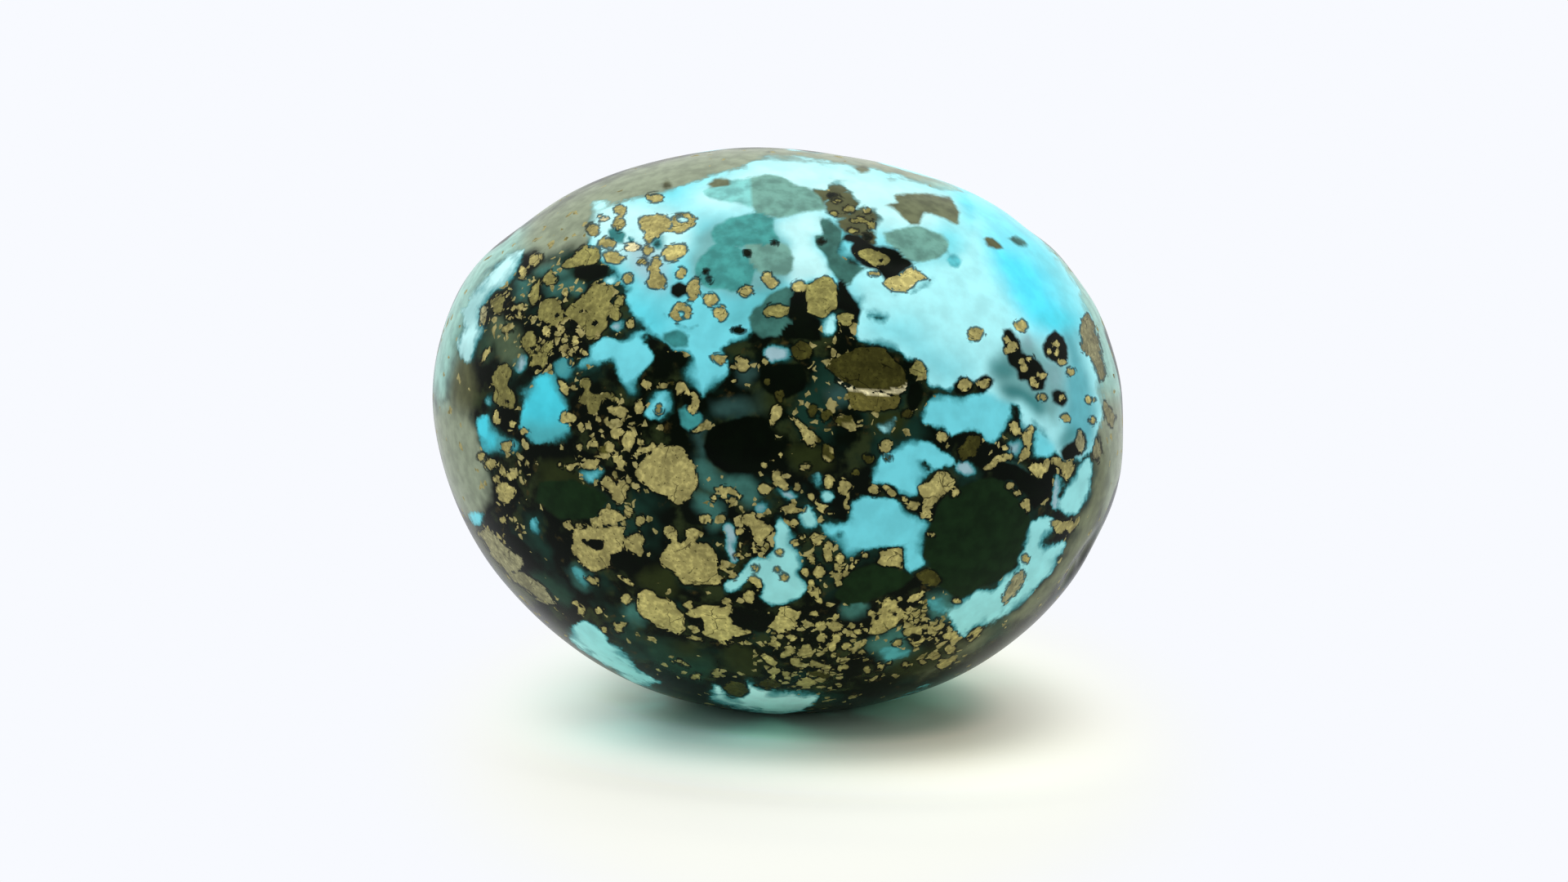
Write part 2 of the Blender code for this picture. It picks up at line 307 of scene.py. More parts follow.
            (1090, 479), (1075, 478), (1060, 477), (1045, 474), (1035, 470), (1024, 462)],
        "centre_leaf": [(967, 425), (980, 419), (990, 422), (996, 432), (993, 440), (980, 444), (972, 440)],
        "right_shade": [(1172, 553), (1180, 545), (1186, 536), (1195, 533), (1203, 535), (1202, 545),
            (1198, 552), (1196, 560), (1185, 560), (1178, 565)],
        "lens_chip": [(1122, 705), (1135, 697), (1148, 702), (1152, 712), (1145, 718), (1130, 715)],
        "base_oval": [(885, 843), (892, 836), (902, 834), (912, 838), (916, 845), (908, 851), (895, 852)],
        "base_right": [(926, 838), (932, 833), (942, 831), (950, 835), (958, 838), (950, 843), (938, 844)],
        "base_far": [(990, 824), (1000, 821), (1010, 823), (1020, 828), (1010, 832)],
    },
    "face": {
        "chipped_floor": [(1038, 482), (1050, 480), (1065, 484), (1085, 487), (1100, 484), (1103, 493),
            (1098, 500), (1085, 504), (1055, 504), (1042, 500)],
    },
    # A painted highlight along the chipped grain's ledge.
    "painted_highlight": {
        "ledge": [(1022, 467), (1035, 471), (1045, 476), (1060, 480), (1080, 483), (1095, 479), (1111, 474),
            (1110, 479), (1096, 484), (1080, 486), (1060, 484), (1045, 479), (1033, 474)],
    },
    # Paler, greyer pyrite, on grains along the rim.
    "pale_rim_pyrite": {
        "rim_left": [(585, 652), (592, 648), (602, 650), (608, 658), (620, 668), (632, 678), (640, 684),
            (641, 695), (632, 702), (620, 700), (610, 690), (600, 675), (592, 662)],
        "rim_left_low": [(622, 703), (640, 700), (655, 712), (668, 722), (676, 735), (682, 742), (672, 742),
            (660, 735), (645, 722), (630, 712)],
        "rim_right": [(1325, 390), (1332, 385), (1340, 400), (1345, 420), (1348, 435), (1355, 460),
            (1348, 468), (1340, 450), (1335, 437), (1326, 430), (1324, 405)],
        "rim_right_low": [(1340, 540), (1345, 532), (1348, 555), (1345, 567), (1340, 560)],
        "rim_right_mid": [(1352, 492), (1358, 497), (1366, 510), (1362, 522), (1355, 515), (1350, 500)],
        "right_column": [(1320, 530), (1325, 527), (1329, 548), (1323, 556), (1318, 545)],
        "right_long": [(1228, 738), (1230, 726), (1238, 716), (1243, 703), (1254, 700), (1255, 710),
            (1248, 720), (1240, 730), (1232, 739)],
        "left_strip": [(590, 375), (597, 378), (595, 388), (592, 400), (588, 398), (590, 385)],
    },
}

# Small rounded grains as (x, y, half width) or (x, y, half width, half height), in pixels.
SMALL_GRAINS = {
    "pyrite": {
        "upper": [(834, 335, 6.5), (870, 368, 8), (883, 384, 8), (914, 358, 8), (940, 340, 6),
            (947, 347, 6), (793, 307, 6), (759, 258, 7), (758, 276, 8), (727, 282, 8), (745, 298, 9, 6),
            (803, 243, 10, 5), (768, 342, 6), (978, 352, 8), (1250, 400, 7), (1182, 471, 8),
            (1206, 471, 9, 7), (1071, 336, 6, 4), (787, 321, 6, 3), (834, 384, 13, 11), (1195, 410, 10, 9)],
        "left": [(792, 473, 7), (812, 473, 6), (808, 503, 5), (704, 475, 4), (757, 492, 3), (733, 514, 4),
            (744, 517, 3, 5), (711, 524, 4, 6), (776, 521, 6, 3), (786, 542, 5), (727, 545, 7, 5),
            (748, 548, 6), (700, 575, 5), (687, 570, 4), (707, 571, 3), (710, 548, 4), (771, 590, 5),
            (781, 600, 3), (642, 530, 5), (630, 520, 5), (621, 547, 7), (590, 559, 5), (602, 570, 7, 6),
            (617, 579, 4), (627, 584, 6), (609, 587, 5), (615, 636, 4), (772, 396, 4, 7), (730, 409, 7, 6),
            (640, 334, 4, 8), (630, 377, 5, 4), (638, 375, 4), (626, 389, 6, 3), (690, 428, 6, 5),
            (698, 434, 6, 4), (698, 445, 4), (667, 405, 4, 6), (686, 403, 4, 5), (693, 412, 4, 6),
            (622, 405, 6, 4), (692, 361, 4, 5), (705, 418, 6, 5), (736, 388, 5), (637, 387, 3),
            (653, 391, 6, 3), (716, 433, 5, 4), (708, 390, 6, 5), (672, 408, 3)],
        "middle": [(770, 629, 5), (784, 639, 6), (863, 637, 7, 5), (885, 635, 6, 4), (897, 614, 6),
            (875, 611, 4), (907, 652, 5), (907, 669, 3, 6), (917, 680, 4, 2), (905, 682, 5, 3),
            (924, 674, 4), (934, 674, 4), (955, 676, 4), (897, 706, 7, 4), (886, 697, 3), (925, 697, 4),
            (952, 698, 4), (960, 707, 5), (890, 736, 5, 3), (973, 642, 5), (976, 597, 5), (975, 667, 5),
            (983, 660, 4), (995, 685, 5), (1025, 697, 5), (1035, 702, 4), (1025, 716, 3), (987, 700, 4),
            (994, 715, 4), (1059, 680, 4), (1108, 613, 4), (1038, 618, 3, 7), (936, 570, 4), (947, 566, 4),
            (957, 560, 4), (987, 573, 7, 4), (898, 452, 4), (899, 465, 3), (938, 444, 4), (1018, 630, 5, 3),
            (1155, 535, 7), (1024, 755, 5), (1140, 655, 4, 3)],
        "low": [(1006, 781, 6), (1026, 781, 6), (1038, 776, 4), (1050, 775, 6, 4), (1055, 767, 3),
            (968, 797, 6), (962, 803, 5), (975, 810, 5), (1020, 793, 5), (1012, 790, 3), (1037, 792, 5),
            (1056, 790, 3), (1067, 751, 4), (1028, 820, 4), (1036, 817, 3), (1062, 820, 4), (1078, 817, 4),
            (1057, 800, 4), (1022, 803, 3), (1046, 800, 3), (852, 772, 4), (893, 788, 5, 2), (908, 789, 3),
            (878, 826, 6, 3), (851, 829, 6, 3), (948, 827, 3), (1122, 762, 6, 3), (1133, 769, 4),
            (1153, 768, 5, 3), (1148, 759, 2), (1129, 739, 4, 3), (1113, 747, 2), (1102, 734, 2),
            (1163, 796, 7, 4), (1145, 803, 7, 5), (1130, 811, 4, 3), (706, 740, 5, 3), (712, 748, 5),
            (734, 748, 4), (740, 770, 5), (1172, 736, 5, 2), (1078, 815, 4, 3), (1088, 812, 3, 2),
            (1108, 815, 4)],
        "right": [(1233, 415, 5), (1240, 425, 7), (1235, 430, 5), (1252, 443, 3), (1255, 452, 4),
            (1262, 440, 4), (1267, 468, 5, 7), (1276, 460, 5), (1285, 431, 4), (1292, 422, 5),
            (1293, 432, 3, 6), (1300, 444, 5, 4), (1312, 456, 5), (1236, 596, 6, 5), (1246, 605, 5, 4),
            (1255, 685, 5), (1232, 550, 5, 4), (1275, 487, 5, 4), (1299, 488, 4), (1306, 512, 5),
            (1338, 516, 4), (1334, 490, 5, 4)],
    },
    "brown": {
        "middle": [(739, 552, 6), (995, 504, 7), (1012, 509, 7), (1112, 509, 6), (1036, 517, 13, 8),
            (1015, 556, 8, 11), (1064, 563, 6), (1047, 580, 5), (940, 468, 5), (1002, 541, 5),
            (1088, 562, 4), (822, 470, 4), (955, 486, 5, 9)],
    },
    "dark": {
        "roof": [(917, 311, 4), (949, 298, 4), (865, 334, 3), (869, 343, 4), (905, 405, 7, 4),
            (1007, 296, 4, 3), (1062, 291, 7, 3), (1020, 240, 6, 3)],
    },
    "dim_pyrite": {
        "mottle": [(1040, 257, 7, 3), (1052, 270, 8, 3), (1063, 260, 5, 4), (1067, 277, 4, 6),
            (1045, 284, 7, 3), (1026, 246, 5, 3), (1022, 262, 4, 3)],
    },
    # Painted highlights: small bright spots on the upper grains.
    "painted_highlight": {
        "upper": [(775, 303, 12, 5), (738, 267, 6, 3), (1111, 331, 3), (1106, 343, 3), (1101, 341, 2),
            (1118, 349, 3)],
    },
}

# Holes and cracks in the grains, which show the dark matrix.
GRAIN_HOLES = {
    "cracked": [(714, 663), (740, 663), (737, 672), (728, 674), (720, 668)],
    "heart_left": [(829, 654), (834, 652), (841, 655), (840, 662), (834, 668), (829, 662)],
    "heart_right": [(852, 657), (857, 656), (860, 662), (857, 667), (852, 664)],
    "crest_right": [(828, 268), (836, 266), (844, 270), (840, 274), (832, 273)],
    "cracked_seam": [(702, 645), (722, 644.5), (765, 642), (765, 644), (740, 646.5), (702, 648)],
    "cracked_side": [(764, 650), (766, 650), (768, 676), (765, 690), (763, 690), (765, 670)],
    "right_wedge": [(1277, 564), (1284, 566), (1286, 572), (1279, 571)],
}
SMALL_HOLES = {
    "upper": [(834, 386, 3.5), (682, 389, 2, 4), (715, 381, 7, 3), (727, 396, 4), (656, 432, 4, 3),
        (652, 427, 3, 2), (1080, 319, 3), (622, 492, 3), (697, 424, 3)],
    "low": [(735, 688, 3), (1140, 625, 3), (756, 594, 3), (756, 514, 7, 4), (930, 634, 5, 3),
        (1078, 750, 3, 1.6), (1096, 753, 4, 1.6), (1074, 757, 2), (1190, 780, 4, 1.6)],
}

# Turquoise fields.
TURQUOISE = {
    "mid": {
        "roof_ground": [(722, 300), (716, 275), (735, 252), (780, 242), (830, 232), (865, 214), (905, 204),
            (935, 190), (990, 192), (1050, 202), (1100, 212), (1150, 228), (1210, 240), (1210, 290),
            (1195, 330), (1150, 350), (1120, 360), (1090, 372), (1060, 370), (1040, 375), (1018, 345),
            (985, 352), (975, 360), (960, 368), (940, 372), (925, 380), (910, 400), (890, 408), (862, 400),
            (850, 410), (825, 402), (790, 372), (768, 358), (760, 345), (745, 330), (730, 315)],
        "upper_left": [(768, 355), (780, 348), (800, 355), (818, 355), (815, 375), (825, 395), (850, 405),
            (862, 385), (880, 395), (900, 375), (925, 372), (930, 390), (920, 410), (900, 418), (880, 430),
            (895, 450), (893, 462), (878, 470), (868, 482), (862, 492), (855, 480), (845, 470), (838, 460),
            (848, 448), (845, 430), (820, 425), (800, 410), (785, 400), (772, 385)],
        "upper_left_arm": [(722, 425), (735, 417), (750, 413), (765, 420), (775, 410), (790, 405),
            (795, 430), (800, 440), (795, 450), (785, 460), (780, 470), (775, 490), (768, 480), (760, 465),
            (752, 450), (745, 440), (735, 447), (722, 452), (708, 452), (706, 445), (720, 435)],
        "island": [(797, 490), (805, 480), (815, 478), (822, 488), (828, 500), (822, 508), (812, 515),
            (803, 510), (795, 512), (790, 505)],
        "small_left": [(708, 577), (718, 575), (730, 575), (740, 577), (738, 585), (730, 590), (722, 592),
            (714, 587)],
        "small_left_low": [(647, 638), (655, 632), (660, 640), (663, 652), (658, 655), (650, 648)],
        "small_rim": [(572, 632), (582, 625), (592, 630), (590, 640), (582, 648)],
        "middle_right": [(1130, 500), (1140, 490), (1160, 482), (1180, 485), (1210, 482), (1225, 485),
            (1240, 490), (1240, 505), (1235, 515), (1230, 530), (1225, 540), (1210, 545), (1203, 535),
            (1190, 528), (1175, 530), (1165, 535), (1158, 525), (1145, 520), (1128, 518)],
        "right_wing": [(1266, 520), (1275, 522), (1285, 530), (1295, 545), (1297, 553), (1285, 560),
            (1270, 562), (1262, 558), (1262, 545), (1266, 535)],
        "centre": [(1065, 595), (1072, 570), (1080, 560), (1092, 555), (1100, 548), (1110, 542),
            (1125, 540), (1145, 542), (1150, 550), (1165, 555), (1172, 565), (1165, 572), (1150, 575),
            (1140, 580), (1130, 590), (1125, 600), (1120, 608), (1105, 605), (1095, 592), (1080, 590)],
        "big_lower": [(1043, 612), (1055, 607), (1075, 612), (1095, 608), (1105, 615), (1112, 628),
            (1125, 635), (1142, 640), (1138, 655), (1132, 670), (1128, 682), (1138, 692), (1130, 697),
            (1115, 700), (1120, 707), (1105, 690), (1108, 672), (1095, 670), (1075, 671), (1055, 675),
            (1045, 682), (1035, 680), (1030, 668), (1008, 658), (1008, 642), (1022, 640), (1038, 640),
            (1040, 625)],
    },
    "soft": {
        "lower_centre": [(905, 705), (915, 690), (925, 685), (940, 682), (950, 670), (945, 660), (950, 650),
            (948, 640), (955, 635), (965, 645), (975, 655), (972, 668), (978, 680), (985, 690), (982, 700),
            (975, 700), (985, 712), (990, 722), (980, 730), (970, 738), (955, 742), (940, 740), (930, 732),
            (935, 720), (928, 705), (915, 712), (905, 725), (895, 730), (885, 722), (888, 712)],
        "lower_centre_two": [(980, 640), (985, 625), (993, 620), (1000, 630), (1003, 645), (995, 652),
            (985, 650)],
        "lower_centre_three": [(1003, 603), (1010, 600), (1022, 602), (1025, 612), (1015, 617),
            (1005, 614)],
        "lower_centre_four": [(995, 582), (1005, 580), (1005, 590), (998, 598)],
        "lower_right": [(1262, 640), (1272, 635), (1285, 633), (1292, 640), (1285, 650), (1280, 660),
            (1275, 670), (1290, 668), (1300, 660), (1308, 665), (1300, 680), (1290, 700), (1278, 712),
            (1265, 725), (1255, 738), (1240, 745), (1232, 755), (1218, 764), (1205, 768), (1190, 772),
            (1178, 780), (1170, 773), (1162, 762), (1160, 752), (1155, 744), (1170, 738), (1185, 733),
            (1200, 725), (1215, 722), (1222, 714), (1232, 705), (1240, 700), (1248, 695), (1245, 685),
            (1252, 670), (1258, 655)],
        "bottom_left": [(697, 773), (705, 765), (715, 760), (725, 765), (738, 775), (745, 785), (755, 790),
            (765, 797), (772, 806), (778, 818), (790, 825), (805, 833), (812, 838), (800, 840), (785, 837),
            (765, 828), (745, 818), (725, 805), (710, 795), (700, 785)],
        "bottom_sliver": [(1105, 853), (1118, 845), (1135, 840), (1146, 838), (1138, 844), (1120, 850)],
        "right": [(1327, 565), (1335, 560), (1341, 570), (1339, 585), (1334, 600), (1328, 615), (1320, 630),
            (1310, 632), (1300, 628), (1298, 618), (1302, 605), (1308, 592), (1316, 582), (1318, 570)],
    },
    "pale": {
        # Part of this pale is painted highlight: the top left and the right shoulder face the light from
        # above.
        "pale_ground": [(722, 248), (745, 246), (770, 248), (788, 262), (790, 285), (800, 300), (800, 315),
            (770, 318), (740, 308), (722, 300), (716, 285), (722, 270)],
        "right_shoulder": [(1036, 345), (1060, 335), (1085, 355), (1110, 362), (1140, 345), (1125, 325),
            (1160, 312), (1170, 290), (1175, 270), (1178, 240), (1172, 225), (1220, 235), (1270, 280),
            (1310, 330), (1340, 390), (1350, 440), (1352, 500), (1346, 545), (1326, 564), (1304, 566),
            (1286, 550), (1270, 526), (1250, 506), (1240, 497), (1222, 492), (1206, 484), (1195, 466),
            (1165, 475), (1140, 480), (1135, 462), (1128, 440), (1110, 440), (1100, 430), (1075, 420),
            (1060, 425), (1045, 410), (1050, 395), (1055, 380)],
        "brow_lens": [(1004, 395), (1010, 386), (1020, 382), (1026, 388), (1024, 400), (1020, 412),
            (1012, 414), (1005, 405)],
        "wedge": [(1075, 520), (1085, 517), (1098, 512), (1096, 520), (1090, 528), (1085, 535),
            (1080, 530)],
        "wing_tip": [(1250, 497), (1256, 494), (1262, 503), (1272, 512), (1280, 520), (1268, 526),
            (1254, 528), (1248, 515), (1248, 505)],
        "right_fleck": [(1282, 500), (1290, 498), (1300, 502), (1304, 515), (1296, 520), (1288, 512)],
        "lilac_left": [(742, 340), (752, 335), (758, 342), (752, 350), (743, 348)],
        "fleck_left": [(592, 487), (600, 484), (603, 492), (597, 497)],
    },
    "ice": {
        "left_strip": [(642, 300), (640, 318), (632, 337), (616, 353), (602, 359), (592, 376), (580, 386),
            (569, 386), (572, 368), (588, 347), (604, 326), (622, 310)],
        "left_strip_low": [(560, 378), (576, 370), (596, 378), (590, 394), (589, 413), (582, 432),
            (572, 448), (563, 440), (559, 424), (568, 405), (567, 390)],
        "bottom": [(868, 842), (880, 838), (885, 845), (895, 852), (910, 852), (918, 845), (912, 835),
            (920, 832), (928, 842), (945, 846), (985, 848), (1000, 850), (1003, 858), (990, 865),
            (980, 873), (950, 876), (920, 872), (890, 864), (870, 858), (878, 850)],
    },
    "deep": {
        "left_eye": [(655, 460), (668, 455), (678, 462), (685, 472), (690, 485), (696, 500), (694, 512),
            (699, 526), (694, 537), (680, 543), (665, 541), (652, 545), (643, 534), (638, 518), (640, 490),
            (640, 478), (648, 470)],
        "left_eye_tail": [(585, 510), (598, 508), (603, 520), (612, 530), (613, 545), (606, 556),
            (598, 558), (592, 550), (588, 540), (582, 525)],
        "shoulder_edge": [(1300, 400), (1315, 395), (1325, 410), (1322, 430), (1330, 460), (1338, 480),
            (1335, 520), (1325, 525), (1318, 500), (1308, 475), (1310, 455), (1305, 430)],
    },
    "teal": {
        "left_eye_top": [(675, 450), (685, 438), (700, 440), (702, 455), (692, 466), (680, 464)],
        "tail_low": [(600, 535), (612, 532), (625, 540), (638, 548), (625, 556), (608, 552)],
        "base_haze": [(1075, 800), (1090, 794), (1105, 793), (1118, 796), (1110, 806), (1095, 812),
            (1080, 808)],
        "left_haze": [(695, 697), (705, 690), (715, 698), (722, 712), (718, 720), (708, 710)],
        "keel_haze": [(1138, 732), (1150, 735), (1160, 742), (1158, 750), (1145, 752), (1135, 742)],
    },
    "lilac": {
        "left": [(628, 438), (640, 433), (647, 438), (646, 450), (638, 455), (630, 448)],
        "upper": [(745, 397), (755, 390), (765, 395), (762, 403), (750, 404)],
        "right": [(1231, 550), (1240, 540), (1250, 540), (1250, 550), (1243, 560), (1233, 556)],
        "centre": [(1170, 570), (1180, 562), (1190, 568), (1200, 578), (1192, 585), (1180, 583),
            (1168, 578)],
        "brow": [(937, 430), (943, 424), (955, 423), (966, 425), (970, 435), (965, 443), (950, 445),
            (940, 440)],
        "low": [(888, 640), (898, 640), (905, 655), (900, 672), (904, 690), (893, 690), (888, 665)],
        "low_two": [(925, 617), (935, 615), (942, 622), (935, 630), (926, 628)],
        "low_three": [(950, 600), (962, 602), (975, 606), (972, 615), (958, 614)],
        "rim": [(1285, 612), (1290, 590), (1298, 580), (1302, 588), (1297, 605), (1300, 622), (1290, 625)],
        "haze": [(1280, 440), (1298, 452), (1300, 465), (1290, 475), (1280, 465), (1275, 450)],
    },
}

# Flecks in the turquoise where the matrix shows through, given as the small grains are.
TURQUOISE_HOLES = [(1029, 655, 4), (1035, 630, 4), (1134, 568, 3), (1139, 575, 3), (1157, 574, 3),
    (773, 294, 2), (803, 299, 3), (789, 414, 3, 8), (795, 420, 4), (1075, 391, 8, 2), (1195, 418, 5, 2),
    (1008, 240, 14, 9), (1030, 252, 17, 15), (1050, 274, 19, 16), (1064, 292, 10, 9), (1066, 268, 9, 8),
    (1022, 306, 8, 16), (1040, 328, 12, 8), (1024, 234, 12, 8)]

# Washes of another tone inside the turquoise: tone, softness in millimetres, strength, outline.
WASHES = {
    "strip_dim": ("sea_grey", 0.5, 0.6, [(556, 360), (580, 352), (602, 356), (600, 385), (580, 402),
        (556, 398)]),
    "strip_end": ("sea_grey", 0.4, 0.4, [(552, 425), (590, 420), (585, 452), (555, 452)]),
    "strip_edge": ("sea_grey", 0.4, 0.35, [(560, 340), (600, 305), (625, 290), (612, 322), (588, 345)]),
    "eye_low": ("teal", 0.5, 0.75, [(630, 520), (645, 515), (672, 520), (702, 510), (708, 530), (690, 555),
        (640, 560), (628, 540)]),
    "shoulder_deep": ("sky", 0.9, 0.95, [(1203, 290), (1235, 298), (1262, 305), (1292, 335), (1314, 380),
        (1318, 408), (1292, 414), (1268, 406), (1246, 386), (1226, 354), (1212, 322)]),
    "shoulder_top": ("sky", 0.6, 0.5, [(1170, 232), (1215, 238), (1262, 275), (1300, 318), (1270, 312),
        (1230, 296), (1200, 276), (1180, 255)]),
    "shoulder_outer": ("mid", 0.9, 0.8, [(1215, 240), (1262, 280), (1300, 320), (1335, 380), (1345, 430),
        (1330, 420), (1305, 390), (1290, 350), (1265, 310), (1235, 275)]),
    # Painted highlight along the right shoulder's ridge, where it faces the top light.
    "ridge": ("pale", 0.6, 0.8, [(1160, 250), (1180, 258), (1200, 300), (1220, 345), (1245, 390),
        (1258, 410), (1240, 408), (1220, 380), (1198, 345), (1180, 305), (1162, 275)]),
    "shoulder_low": ("mid", 1.2, 0.7, [(1060, 390), (1090, 380), (1120, 395), (1150, 430), (1190, 450),
        (1170, 475), (1140, 470), (1110, 430), (1070, 415)]),
    # This wash and the next are partly painted highlight: the top of the stone paler where the light falls.
    "roof_pale": ("ice", 0.8, 0.9, [(840, 236), (905, 206), (935, 190), (990, 192), (1050, 202),
        (1150, 228), (1170, 245), (1150, 285), (1080, 290), (1020, 262), (960, 262), (900, 262),
        (850, 262)]),
    "left_pale": ("ice", 0.6, 0.9, [(722, 250), (790, 245), (850, 262), (850, 300), (800, 330), (740, 320),
        (720, 290)]),
    "under_lilac": ("lilac", 0.5, 0.8, [(770, 300), (800, 296), (820, 330), (815, 360), (790, 350),
        (770, 330)]),
    "arm_deep": ("deep", 0.6, 0.5, [(770, 365), (800, 375), (820, 400), (800, 420), (775, 400)]),
    "sea_left": ("sea_grey", 0.4, 0.9, [(848, 300), (862, 280), (885, 268), (950, 270), (958, 292),
        (970, 306), (970, 332), (962, 350), (930, 362), (880, 360), (852, 352), (842, 325)]),
    "upper_dim": ("teal", 0.6, 0.55, [(925, 356), (962, 350), (968, 372), (930, 392), (905, 400),
        (880, 395), (905, 375)]),
    "roof_patch": ("ice", 0.3, 0.95, [(948, 272), (975, 264), (1005, 260), (1012, 275), (1008, 290),
        (995, 292), (1003, 305), (1010, 320), (1020, 330), (1018, 340), (1000, 345), (975, 348), (965, 345),
        (968, 330), (965, 310), (970, 300), (960, 290)]),
    "ground_join": ("pale", 0.8, 0.95, [(1030, 345), (1060, 300), (1100, 322), (1160, 312), (1182, 330),
        (1150, 370), (1100, 382), (1060, 388)]),
    "right_field": ("sea_grey", 0.4, 1.0, [(1216, 440), (1240, 420), (1262, 410), (1272, 425), (1290, 440),
        (1305, 446), (1308, 480), (1300, 500), (1296, 524), (1280, 512), (1262, 494), (1240, 488),
        (1222, 482), (1214, 462)]),
    "right_column": ("column", 0.35, 1.0, [(1296, 400), (1322, 402), (1326, 440), (1338, 470), (1344, 520),
        (1334, 556), (1316, 548), (1304, 520), (1304, 470), (1308, 440)]),
    "right_arc": ("deep", 0.4, 0.8, [(1262, 384), (1290, 378), (1312, 388), (1316, 402), (1296, 404),
        (1276, 402)]),
    "right_band": ("dark_teal", 0.3, 0.95, [(1222, 474), (1245, 473), (1266, 484), (1276, 496), (1282, 508),
        (1266, 507), (1250, 495), (1232, 486)]),
    "right_smudge": ("dark_teal", 0.35, 0.75, [(1211, 438), (1238, 440), (1248, 455), (1238, 466),
        (1220, 464), (1212, 452)]),
    "right_foot": ("dark_teal", 0.35, 0.8, [(1298, 528), (1310, 520), (1322, 528), (1318, 548), (1304, 560),
        (1296, 548)]),
    "right_grey": ("lilac", 0.5, 0.35, [(1282, 442), (1300, 450), (1306, 470), (1292, 482), (1280, 470)]),
    "lilac_top": ("lilac", 0.4, 0.5, [(1246, 410), (1262, 408), (1270, 418), (1262, 430), (1250, 425)]),
}

